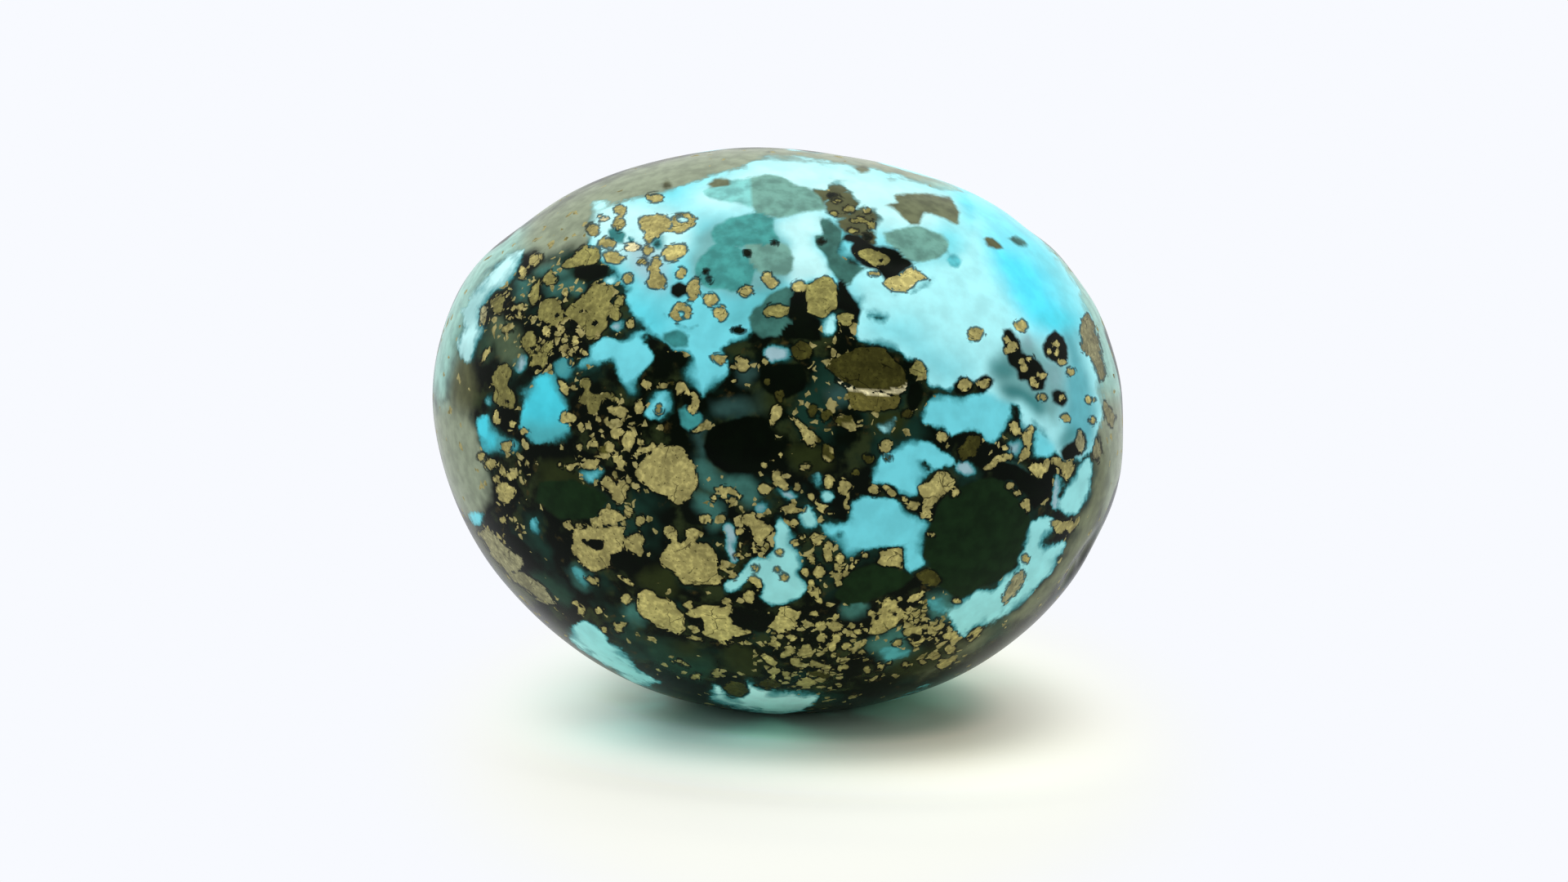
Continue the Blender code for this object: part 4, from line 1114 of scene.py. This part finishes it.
def grain_density(skin):
    """The share of the skin that is fine pyrite: drawn clusters, and some more out of sight. A
    cluster is full to about half its reach and gone at about one and a half times its reach."""
    x, y = photo_place(skin.places)
    density = np.full(len(skin.places), SPARSE)
    for cx, cy, wide, high, share in GRAIN_CLUSTERS:
        away = np.hypot((x - cx) / wide, (y - cy) / high)
        thick = share * np.clip(1.6 - away * 1.1, 0, 1)
        density = np.maximum(density, thick * (skin.facing > CLUSTER_FACING))
    for _ in range(HIDDEN_CLUSTERS):
        centre = skin.places[skin.rng.choice(skin.back)]
        reach = skin.rng.uniform(*HIDDEN_CLUSTER_MM) * MM
        away = np.linalg.norm(skin.places - centre, axis=1) / reach
        thick = HIDDEN_CLUSTER_SHARE * np.clip(1.5 - away, 0, 1)
        density = np.maximum(density, thick * (skin.facing < CLUSTER_FACING))
    return density


def keep(mesh, name, values):
    """Keeps numbers or colours of every vertex in the mesh under a name."""
    if values.ndim == 1:
        layer = mesh.attributes.new(name, "FLOAT", "POINT")
        layer.data.foreach_set("value", values.astype(np.float32))
    else:
        layer = mesh.attributes.new(name, "FLOAT_COLOR", "POINT")
        layer.data.foreach_set("color", values.astype(np.float32).ravel())


def mark(skin, mesh):
    """Lays every marking on the skin and keeps it in the mesh."""
    hazes_and_sheen = lay_shapes(skin, HAZES_AND_SHEEN, CRYSTAL_COLOURS, **HAZE_LAY)
    blue = lay_shapes(skin, TURQUOISE, BLUES, **BLUE_LAY)
    for tone, softness, strength, outline in WASHES.values():
        skin.wash(blue, rounded(outline, WASH_ROUNDING), BLUES[tone], softness, strength)
    tint_out_of_sight(skin, blue)
    crystals = lay_shapes(skin, CRYSTALS, CRYSTAL_COLOURS, **CRYSTAL_LAY)
    for hole in TURQUOISE_HOLES:
        skin.draw(blue, lump_outline(hole, skin.rng), None, hollow=True)
    grains = lay_shapes(skin, GRAINS, GRAIN_COLOURS, **GRAIN_LAY)
    for name, groups in SMALL_GRAINS.items():
        for lump in (lump for group in groups.values() for lump in group):
            skin.draw(grains, lump_outline(lump, skin.rng), GRAIN_COLOURS[name], GRAIN_WARP_SHARE)
    for _ in range(SMALL_STAMPS):
        lump = [0, 0] + [skin.rng.uniform(*half) for half in SMALL_STAMP_PX]
        outline = lump_outline(lump, skin.rng)
        skin.stamp(grains, outline, GRAIN_COLOURS["pyrite"], GRAIN_WARP_SHARE)
    holes = [np.array(outline, float) for outline in GRAIN_HOLES.values()]
    holes += [lump_outline(lump, skin.rng) for group in SMALL_HOLES.values() for lump in group]
    for outline in holes:
        skin.draw(grains, outline, None, GRAIN_WARP_SHARE, hollow=True)
    hazes_and_sheen["colour"] = soften(mesh, hazes_and_sheen["colour"], HAZE_SOFTENING)
    blue["colour"] = soften(mesh, blue["colour"], BLUE_SOFTENING)
    fields = {"haze": hazes_and_sheen, "crystal": crystals, "blue": blue, "grain": grains}
    for name, field in fields.items():
        keep(mesh, name + "_depth", field["depth"])
        keep(mesh, name + "_colour", field["colour"])
    keep(mesh, "grain_density", grain_density(skin))


# Materials

MATRIX_BLACK = "#030902"
MATRIX_GREEN = "#16352A"
MATRIX_OLIVE = "#29331A"
MATRIX_BROWN = "#3B3316"
EDGE_DARK = "#12352E"
EDGE_TEAL = "#3C8F94"
GRAIN_SHADE = "#6C6638"
FINE_GRAIN = "#A69D66"
PAPER_COLOUR = "#F9FAF1"
SURROUND_COLOUR = "#F8FAFF"


# Kinds of node and how they are set up.
MATH = "ShaderNodeMath"
VECTOR = "ShaderNodeVectorMath"
NOISE = "ShaderNodeTexNoise"
CELLS = "ShaderNodeTexVoronoi"
RANGE = "ShaderNodeMapRange"
MIX = "ShaderNodeMix"
ATTRIBUTE = "ShaderNodeAttribute"
SEPARATE = "ShaderNodeSeparateColor"
ADD = {"operation": "ADD"}
TIMES = {"operation": "MULTIPLY"}
TIMES_PLUS = {"operation": "MULTIPLY_ADD"}
LARGER = {"operation": "MAXIMUM"}
BELOW = {"operation": "LESS_THAN"}
SCALED = {"operation": "SCALE"}
LENGTH = {"operation": "LENGTH"}
EASED = {"interpolation_type": "SMOOTHSTEP"}
COLOURS = {"data_type": "RGBA"}
MULTIPLIED = {"data_type": "RGBA", "blend_type": "MULTIPLY"}
TO_EDGE = {"feature": "DISTANCE_TO_EDGE"}
IN_BLOCKS = {"distance": "CHEBYCHEV"}
FACTOR, A, B, RESULT = 0, 6, 7, 2  # a Mix node's sockets for colours, called as it shows them

# The stone's noises: how long their features are in millimetres, and how fine their detail.
NOISES = {
    "fine": (0.22, 3.0),
    "broad": (0.9, 2.0),
    "green_cloud": (2.6, 3.0),
    "olive_cloud": (1.1, 4.0),
    "brown_cloud": (0.6, 4.0),
    "crystal_cloud": (0.6, 3.0),
    "edge_pace": (1.8, 2.0),
    "blue_cloud": (0.9, 3.0),
    "cracked_part": (1.1, 1.0),
    "tarnish": (0.75, 4.0),
    "painted_glint": (0.2, 3.0),
    "pit": (0.13, 2.0),
    "fine_shade": (0.3, 2.0),
    "relief": (0.12, 3.0),
}
# The clouds in the dark matrix: the noise, where in it they start and are full, and their colour.
MATRIX_CLOUDS = (
    ("green_cloud", 0.50, 0.72, MATRIX_GREEN),
    ("olive_cloud", 0.50, 0.70, MATRIX_OLIVE),
    ("brown_cloud", 0.60, 0.76, MATRIX_BROWN),
)
# How each marking's colour is clouded: the noise, and the shade at its low and high ends.
MARKING_CLOUDS = (
    ("haze", "crystal_cloud", 0.80, 1.12),
    ("blue", "blue_cloud", 0.90, 1.06),
    ("crystal", "crystal_cloud", 0.68, 1.12),
)
# Real pyrite of this kind goes down to a few hundredths of a millimetre; the finest here is drawn
# as coarse as the render can show. Millimetres across, and the share of the cells taken.
FINE_GRAINS = ((0.27, 0.62), (0.47, 0.42))
BEND_PER_MM = 2.5  # how often the fine grains' and cracks' lines bend, and how far in millimetres
BEND_MM = (0.35, 0.35, 0.35)
BLOCK_MM = 0.26
CRACK_SPACING_MM = 1.3
# What shades a drawn grain: the noise, where in it the shading starts and is full, and the tone
# at both ends.
GRAIN_SHADINGS = (
    ("tarnish", 0.40, 0.68, 1.08, 0.72),
    # The glint is painted highlight: bright specks in the pyrite's colour.
    ("painted_glint", 0.42, 0.72, 0.84, 1.38),
    ("pit", 0.62, 0.72, 1.0, 0.35),
)
TURQUOISE_IOR = 1.6
WAX_SPECULAR = 0.03  # the photo's light comes evenly from all round, so the polish hardly mirrors
STONE_ROUGHNESS = 0.24
PYRITE_ROUGHNESS = 0.5
PYRITE_METALLIC = 0.5  # half metal: full metal would go dark wherever the surround is dimmer
RELIEF_STRENGTH = 0.5
RELIEF_DEPTH = 0.04 * MM


def add_node(tree, kind, settings=None, inputs=(), out=0):
    """Adds a node, sets it up, links or sets its inputs, and returns one of its outputs."""
    node = tree.nodes.new(kind)
    for name, value in (settings or {}).items():
        setattr(node, name, value)
    for socket, value in inputs.items() if isinstance(inputs, dict) else enumerate(inputs):
        if isinstance(value, bpy.types.NodeSocket):
            tree.links.new(value, node.inputs[socket])
        else:
            node.inputs[socket].default_value = value
    return node.outputs[out] if node.outputs else None


def polished_turquoise():
    """Turquoise with pyrite in a dark matrix, tumbled and polished: the stone is smooth and waxy,
    with clear soft colours; the pyrite is duller and a little rough, as brass-coloured metal."""
    material = bpy.data.materials.new("tumbled_turquoise_with_pyrite")
    material.use_nodes = True
    tree = material.node_tree
    shader = tree.nodes["Principled BSDF"]
    place = add_node(tree, "ShaderNodeTexCoord", out="Object")
    in_mm = add_node(tree, VECTOR, SCALED, {0: place, "Scale": 1000.0})
    noises = {}
    for name, (length_mm, detail) in NOISES.items():
        inputs = {"Vector": in_mm, "Scale": 1 / length_mm, "Detail": detail}
        noises[name] = add_node(tree, NOISE, inputs=inputs)
    depths, colours = {}, {}
    for name in ("haze", "blue", "crystal", "grain"):
        depths[name] = add_node(tree, ATTRIBUTE, {"attribute_name": name + "_depth"}, out="Fac")
        colours[name] = add_node(tree, ATTRIBUTE, {"attribute_name": name + "_colour"}, out="Color")
    for name, cloud, low, high in MARKING_CLOUDS:
        cloud = add_node(tree, RANGE, EASED, (noises[cloud], 0.3, 0.7, low, high))
        colours[name] = add_node(tree, VECTOR, SCALED, {0: colours[name], "Scale": cloud})
    fine = add_node(tree, MATH, ADD, (noises["fine"], -0.5))
    broad = add_node(tree, MATH, ADD, (noises["broad"], -0.5))

    # A marking's depth is in millimetres inward from its edge, and so are the steps it fades over.

    # The dark matrix, clouded with dark green and mottled with olive and brown.
    colour = linear(MATRIX_BLACK)
    for name, low, high, tone in MATRIX_CLOUDS:
        share = add_node(tree, RANGE, EASED, (noises[name], low, high))
        colour = add_node(tree, MIX, COLOURS, {FACTOR: share, A: colour, B: linear(tone)}, RESULT)

    # Hazes, with the painted sheen along the rim, very soft at the edge.
    haze = add_node(tree, MATH, TIMES_PLUS, (broad, 0.5, depths["haze"]))
    haze = add_node(tree, RANGE, EASED, (haze, -0.35, 0.30))
    colour = add_node(tree, MIX, COLOURS, {FACTOR: haze, A: colour, B: colours["haze"]}, RESULT)

    # Turquoise, with a dark edge that turns teal and then clears, sharply in some places and
    # slowly in others. Against a haze it has no dark edge.
    uneven = add_node(tree, MATH, TIMES, (broad, 0.22))
    uneven = add_node(tree, MATH, TIMES_PLUS, (fine, 0.26, uneven))
    blue = add_node(tree, MATH, ADD, (depths["blue"], uneven))
    pace = add_node(tree, RANGE, EASED, (noises["edge_pace"], 0.35, 0.65, 0.6, 2.2))
    blue = add_node(tree, MATH, TIMES, (blue, pace))
    dark = add_node(tree, RANGE, EASED, (haze, 0.0, 0.7, 1.0, 0.0))
    teal = add_node(tree, RANGE, EASED, (dark, 0.0, 1.0, 0.35, 1.0))
    for low, high, strength, tone in ((-0.20, -0.03, dark, EDGE_DARK), (-0.08, 0.08, teal, EDGE_TEAL)):
        edge = add_node(tree, RANGE, EASED, (blue, low, high))
        edge = add_node(tree, MATH, TIMES, (edge, strength))
        colour = add_node(tree, MIX, COLOURS, {FACTOR: edge, A: colour, B: linear(tone)}, RESULT)
    share = add_node(tree, RANGE, EASED, (blue, -0.02, 0.30))
    colour = add_node(tree, MIX, COLOURS, {FACTOR: share, A: colour, B: colours["blue"]}, RESULT)

    # Crystals and bare matrix in the turquoise, crisp at the edge.
    crystal = add_node(tree, MATH, TIMES_PLUS, (uneven, 0.45, depths["crystal"]))
    crystal = add_node(tree, RANGE, EASED, (crystal, -0.09, 0.09))
    colour = add_node(tree, MIX, COLOURS, {FACTOR: crystal, A: colour, B: colours["crystal"]}, RESULT)

    # Fine pyrite, thickest in the clusters and none in the turquoise or the crystals.
    bent = add_node(tree, NOISE, inputs={"Vector": in_mm, "Scale": BEND_PER_MM}, out="Color")
    bent = add_node(tree, VECTOR, TIMES_PLUS, (bent, BEND_MM, in_mm))
    in_blue = add_node(tree, RANGE, EASED, (blue, -0.05, 0.10))
    in_crystal = add_node(tree, MATH, TIMES, (crystal, 0.93))
    taken = add_node(tree, MATH, LARGER, (in_blue, in_crystal))
    free = add_node(tree, RANGE, EASED, (taken, 0.0, 1.0, 1.0, 0.0))
    density = add_node(tree, ATTRIBUTE, {"attribute_name": "grain_density"}, out="Fac")
    wanted = add_node(tree, MATH, TIMES, (density, free))
    fine_grain = 0.0
    for size_mm, share in FINE_GRAINS:
        cell = {"Vector": bent, "Scale": 1 / size_mm, "Randomness": 1.0}
        pick = add_node(tree, CELLS, inputs=cell, out="Color")
        pick = add_node(tree, SEPARATE, inputs=(pick,))
        wanted_here = add_node(tree, MATH, TIMES, (wanted, share))
        chosen = add_node(tree, MATH, BELOW, (pick, wanted_here))
        body = add_node(tree, CELLS, TO_EDGE, cell)
        body = add_node(tree, RANGE, EASED, (body, 0.08, 0.15))
        body = add_node(tree, MATH, TIMES, (body, chosen))
        fine_grain = add_node(tree, MATH, LARGER, (fine_grain, body))
    shaded = add_node(tree, RANGE, EASED, (noises["fine_shade"], 0.4, 0.7))
    small = {FACTOR: shaded, A: linear(FINE_GRAIN), B: linear(GRAIN_SHADE)}
    small = add_node(tree, MIX, COLOURS, small, RESULT)

    # Drawn pyrite grains inside a thin dark rim. Pyrite grows in blocks, so their edges step.
    block = {"Vector": in_mm, "Scale": 1 / BLOCK_MM, "Randomness": 0.8}
    block = add_node(tree, CELLS, IN_BLOCKS, block, "Color")
    block = add_node(tree, SEPARATE, inputs=(block,))
    block = add_node(tree, RANGE, EASED, (block, 0.0, 1.0, -0.05, 0.05))
    grain = add_node(tree, MATH, TIMES_PLUS, (fine, 0.07, depths["grain"]))
    grain = add_node(tree, MATH, ADD, (grain, block))
    rim = add_node(tree, RANGE, EASED, (grain, -0.12, -0.03, 0.0, 0.85))
    colour = add_node(tree, MIX, COLOURS, {FACTOR: rim, A: colour, B: linear(MATRIX_BLACK)}, RESULT)
    grain_share = add_node(tree, RANGE, EASED, (grain, -0.012, 0.02))

    # A grain is lighter or darker with tarnish, painted glints (small painted highlights), pits, cracks and
    # towards its rim.
    crack = {"Vector": bent, "Scale": 1 / CRACK_SPACING_MM, "Randomness": 1.0}
    crack = add_node(tree, CELLS, TO_EDGE, crack)
    crack = add_node(tree, RANGE, EASED, (crack, 0.006, 0.022, 1.0, 0.0))
    cracked_part = add_node(tree, RANGE, EASED, (noises["cracked_part"], 0.52, 0.60))
    crack = add_node(tree, MATH, TIMES, (crack, cracked_part))
    shadings = [(noises[name], *steps) for name, *steps in GRAIN_SHADINGS]
    shadings += [(crack, 0.0, 1.0, 1.0, 0.3), (grain, 0.0, 0.07, 0.72, 1.0)]
    tone = 1.0
    for shading in shadings:
        shading = add_node(tree, RANGE, EASED, shading)
        tone = add_node(tree, MATH, TIMES, (tone, shading))
    metal = add_node(tree, VECTOR, SCALED, {0: colours["grain"], "Scale": tone})
    colour = add_node(tree, MIX, COLOURS, {FACTOR: fine_grain, A: colour, B: small}, RESULT)
    colour = add_node(tree, MIX, COLOURS, {FACTOR: grain_share, A: colour, B: metal}, RESULT)
    all_grain = add_node(tree, MATH, LARGER, (fine_grain, grain_share))

    # The pyrite is a little rough and half metal; the stone round it is smooth.
    strength = add_node(tree, MATH, TIMES, (all_grain, RELIEF_STRENGTH))
    relief = {"Height": noises["relief"], "Strength": strength, "Distance": RELIEF_DEPTH}
    metallic = add_node(tree, MATH, TIMES, (all_grain, PYRITE_METALLIC))
    roughness = (all_grain, 0.0, 1.0, STONE_ROUGHNESS, PYRITE_ROUGHNESS)
    roughness = add_node(tree, RANGE, EASED, roughness)
    normal = add_node(tree, "ShaderNodeBump", inputs=relief)
    shader.inputs["IOR"].default_value = TURQUOISE_IOR
    shader.inputs["Specular IOR Level"].default_value = WAX_SPECULAR
    tree.links.new(colour, shader.inputs["Base Color"])
    tree.links.new(metallic, shader.inputs["Metallic"])
    tree.links.new(roughness, shader.inputs["Roughness"])
    tree.links.new(normal, shader.inputs["Normal"])
    return material


# The paper's painted shadow out from the stone's foot, as shares of the way to the rim of an oval, and
# colours, then that oval: dark green painted shadow at the foot, then a painted ring of light brighter than
# plain paper.
PAINTED_FOOT_SHADOW = (
    (0.03, (0.06, 0.17, 0.11, 1)),
    (0.17, (0.44, 0.58, 0.50, 1)),
    (0.27, (0.54, 0.68, 0.60, 1)),
    (0.37, (0.98, 1.02, 0.95, 1)),
    (0.55, (1.28, 1.29, 1.19, 1)),
    (0.78, (0.95, 0.96, 0.88, 1)),
    (1.00, (0.87, 0.88, 0.82, 1)),
)
FOOT_MIDDLE = (0.6 * MM, 0.2 * MM, 0)
FOOT_HALF = (28.0 * MM, 21.0 * MM, 1)
FOOT_TURN = (0, 0, math.radians(-28))
PAINTED_BOUNCE_SPAN = (-0.005, 0.008)  # metres from left to right over which one painted bounce colour turns into the other
PAINTED_BOUNCE_REACH = (0.30, 0.75)  # shares of the oval over which the painted bounce colour fades
PAPER_SHIFT = (-2.5 * MM, 6.5 * MM, 0)  # these two lay out the oval of the two fades below
PAPER_STRETCH = (1.65, 1, 1)
PAPER_FADE = (9.0 * MM, 27.0 * MM)  # where the paper turns into the surround, out from the stone
COOL_FADE = (16.0 * MM, 32.0 * MM)  # where its warm white turns into the surround's cool white
LEFT_PAINTED_BOUNCE = (0.90, 1.22, 1.18, 1)  # painted bounce light: teal from the stone's left side, olive from its right
RIGHT_PAINTED_BOUNCE = (1.05, 0.98, 0.83, 1)


def paper_floor():
    """Matt white paper near the stone, with a painted shadow, a painted ring of light and painted
    bounce colour round the stone's foot; farther off it turns into the even pale surround.
    """
    material = bpy.data.materials.new("white_paper_with_painted_shadow")
    material.use_nodes = True
    tree = material.node_tree
    tree.nodes.clear()
    place = add_node(tree, "ShaderNodeTexCoord", out="Object")
    oval = {0: place, "Location": PAPER_SHIFT, "Scale": PAPER_STRETCH}
    oval = add_node(tree, "ShaderNodeMapping", inputs=oval)
    far = add_node(tree, VECTOR, LENGTH, (oval,), "Value")
    share = add_node(tree, RANGE, EASED, (far, *PAPER_FADE))
    foot = {0: place, "Location": FOOT_MIDDLE, "Rotation": FOOT_TURN, "Scale": FOOT_HALF}
    foot = add_node(tree, "ShaderNodeMapping", {"vector_type": "TEXTURE"}, foot)
    from_foot = add_node(tree, VECTOR, LENGTH, (foot,), "Value")
    # The painted shadow round the foot, with a painted ring of light beyond it.
    tone = add_node(tree, "ShaderNodeValToRGB", inputs=(from_foot,))
    ramp = tone.node.color_ramp
    ramp.interpolation = "EASE"
    while len(ramp.elements) < len(PAINTED_FOOT_SHADOW):
        ramp.elements.new(0.5)
    for element, (position, tint) in zip(ramp.elements, PAINTED_FOOT_SHADOW):
        element.position = position
        element.color = tint
    # Painted bounce light: teal on the left, olive on the right, fading out from the foot.
    rightwards = add_node(tree, "ShaderNodeSeparateXYZ", inputs=(place,), out="X")
    rightwards = add_node(tree, RANGE, EASED, (rightwards, *PAINTED_BOUNCE_SPAN))
    painted_bounce = {FACTOR: rightwards, A: LEFT_PAINTED_BOUNCE, B: RIGHT_PAINTED_BOUNCE}
    painted_bounce = add_node(tree, MIX, COLOURS, painted_bounce, RESULT)
    close = add_node(tree, RANGE, EASED, (from_foot, *PAINTED_BOUNCE_REACH, 1.0, 0.0))
    painted_shadow_and_bounce = {FACTOR: close, A: tone, B: painted_bounce}
    painted_shadow_and_bounce = add_node(tree, MIX, MULTIPLIED, painted_shadow_and_bounce, RESULT)
    paper = add_node(tree, "ShaderNodeBsdfDiffuse", inputs={"Color": painted_shadow_and_bounce})
    cool = add_node(tree, RANGE, EASED, (far, *COOL_FADE))
    pale = {FACTOR: cool, A: linear(PAPER_COLOUR), B: linear(SURROUND_COLOUR)}
    pale = add_node(tree, MIX, COLOURS, pale, RESULT)
    haze = add_node(tree, "ShaderNodeEmission", inputs={"Color": pale})
    mixed = add_node(tree, "ShaderNodeMixShader", inputs=(share, paper, haze))
    add_node(tree, "ShaderNodeOutputMaterial", inputs=(mixed,))
    return material


# Floor, light and camera

FLOOR_SIZE = 3.0  # metres, so wide that none of its edges shows
SIDE_LIGHT = 1.05
FRONT_DIM = 0.45  # the surround's light from behind the camera
FRONT_SPAN = (0.45, 0.8)  # how squarely a direction lies behind the camera as it dims
TOP_LIGHT = 0.12  # what the surround's light gains overhead
TOP_SPAN = (0.2, 0.9)
SURROUND_LIGHT = "#FCFDFF"
SOFTBOX_ACROSS = 0.24
SOFTBOX_WATTS = 0.22
SOFTBOX_PLACE = (-0.02, 0.03, 0.26)
SOFTBOX_LEAN = math.radians(-6)
SOFTBOX_TINT = (1.0, 0.99, 0.97)


def make_floor():
    """The sheet of paper that the stone stands on, a stage piece and no part of the object."""
    deselect_all()
    bpy.ops.mesh.primitive_plane_add(size=FLOOR_SIZE)
    floor = bpy.context.object
    floor.name = "paper_floor"
    floor.data.materials.append(paper_floor())


def make_surround():
    """The even pale surround as the eye sees it; as light it is dimmer from the front, where
    the camera stands, and brighter from above."""
    world = bpy.data.worlds.new("light_tent")
    bpy.context.scene.world = world
    world.use_nodes = True
    tree = world.node_tree
    tree.nodes.clear()
    way = add_node(tree, "ShaderNodeTexCoord", out="Generated")
    towards = add_node(tree, VECTOR, {"operation": "DOT_PRODUCT"}, (way, tuple(AWAY)), "Value")
    dim = add_node(tree, RANGE, EASED, (towards, *FRONT_SPAN, SIDE_LIGHT, FRONT_DIM))
    height = add_node(tree, "ShaderNodeSeparateXYZ", inputs=(way,), out="Z")
    top = add_node(tree, RANGE, EASED, (height, *TOP_SPAN, 0.0, TOP_LIGHT))
    power = add_node(tree, MATH, ADD, (dim, top))
    light = add_node(tree, "ShaderNodeBackground", inputs=(linear(SURROUND_LIGHT), power))
    seen = add_node(tree, "ShaderNodeBackground", inputs=(linear(SURROUND_COLOUR),))
    ray = add_node(tree, "ShaderNodeLightPath", out="Is Camera Ray")
    both = add_node(tree, "ShaderNodeMixShader", inputs=(ray, light, seen))
    add_node(tree, "ShaderNodeOutputWorld", inputs=(both,))


def make_lights():
    """One wide soft light above and a little behind, which gives the soft round shadow, deepened by
    the shadow painted on the paper.
    """
    data = bpy.data.lights.new("top_softbox", "AREA")
    data.shape = "DISK"
    data.size = SOFTBOX_ACROSS
    data.energy = SOFTBOX_WATTS
    data.color = SOFTBOX_TINT
    softbox = bpy.data.objects.new("top_softbox", data)
    softbox.location = SOFTBOX_PLACE
    softbox.rotation_euler = (SOFTBOX_LEAN, 0, 0)
    bpy.context.scene.collection.objects.link(softbox)


def make_camera():
    """The camera, moved sideways from the stone's middle so that the stone lies in the frame as
    it does in the photo."""
    data = bpy.data.cameras.new("camera")
    data.lens = LENS_MM
    data.sensor_width = SENSOR_MM
    camera = bpy.data.objects.new("camera", data)
    left = (PHOTO_SIZE[0] / 2 - STONE_MIDDLE_PX[0]) / PX_PER_MM * MM
    down = (PHOTO_SIZE[1] / 2 - STONE_MIDDLE_PX[1]) / PX_PER_MM * MM
    camera.location = Vector(STONE_MIDDLE + AWAY * CAMERA_DISTANCE + ACROSS * left - UP * down)
    camera.rotation_euler = (math.pi / 2 - SIGHT_TILT, 0, 0)
    bpy.context.scene.collection.objects.link(camera)
    bpy.context.scene.camera = camera


def make_stone():
    """The finished skin, which takes the CAD stone's place."""
    guide = smooth_guide(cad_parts["nugget"])
    stone = fine_ball()
    stone.name = "turquoise_nugget"
    fit_skin(stone, guide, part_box("nugget"))
    bpy.data.objects.remove(guide)
    stone.data.shade_smooth()
    mark(Skin(stone.data), stone.data)
    stone.data.materials.append(polished_turquoise())
    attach(stone, "root")
    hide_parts("nugget")


make_stone()
make_floor()
make_surround()
make_lights()
make_camera()
bpy.context.scene.view_settings.view_transform = "Standard"
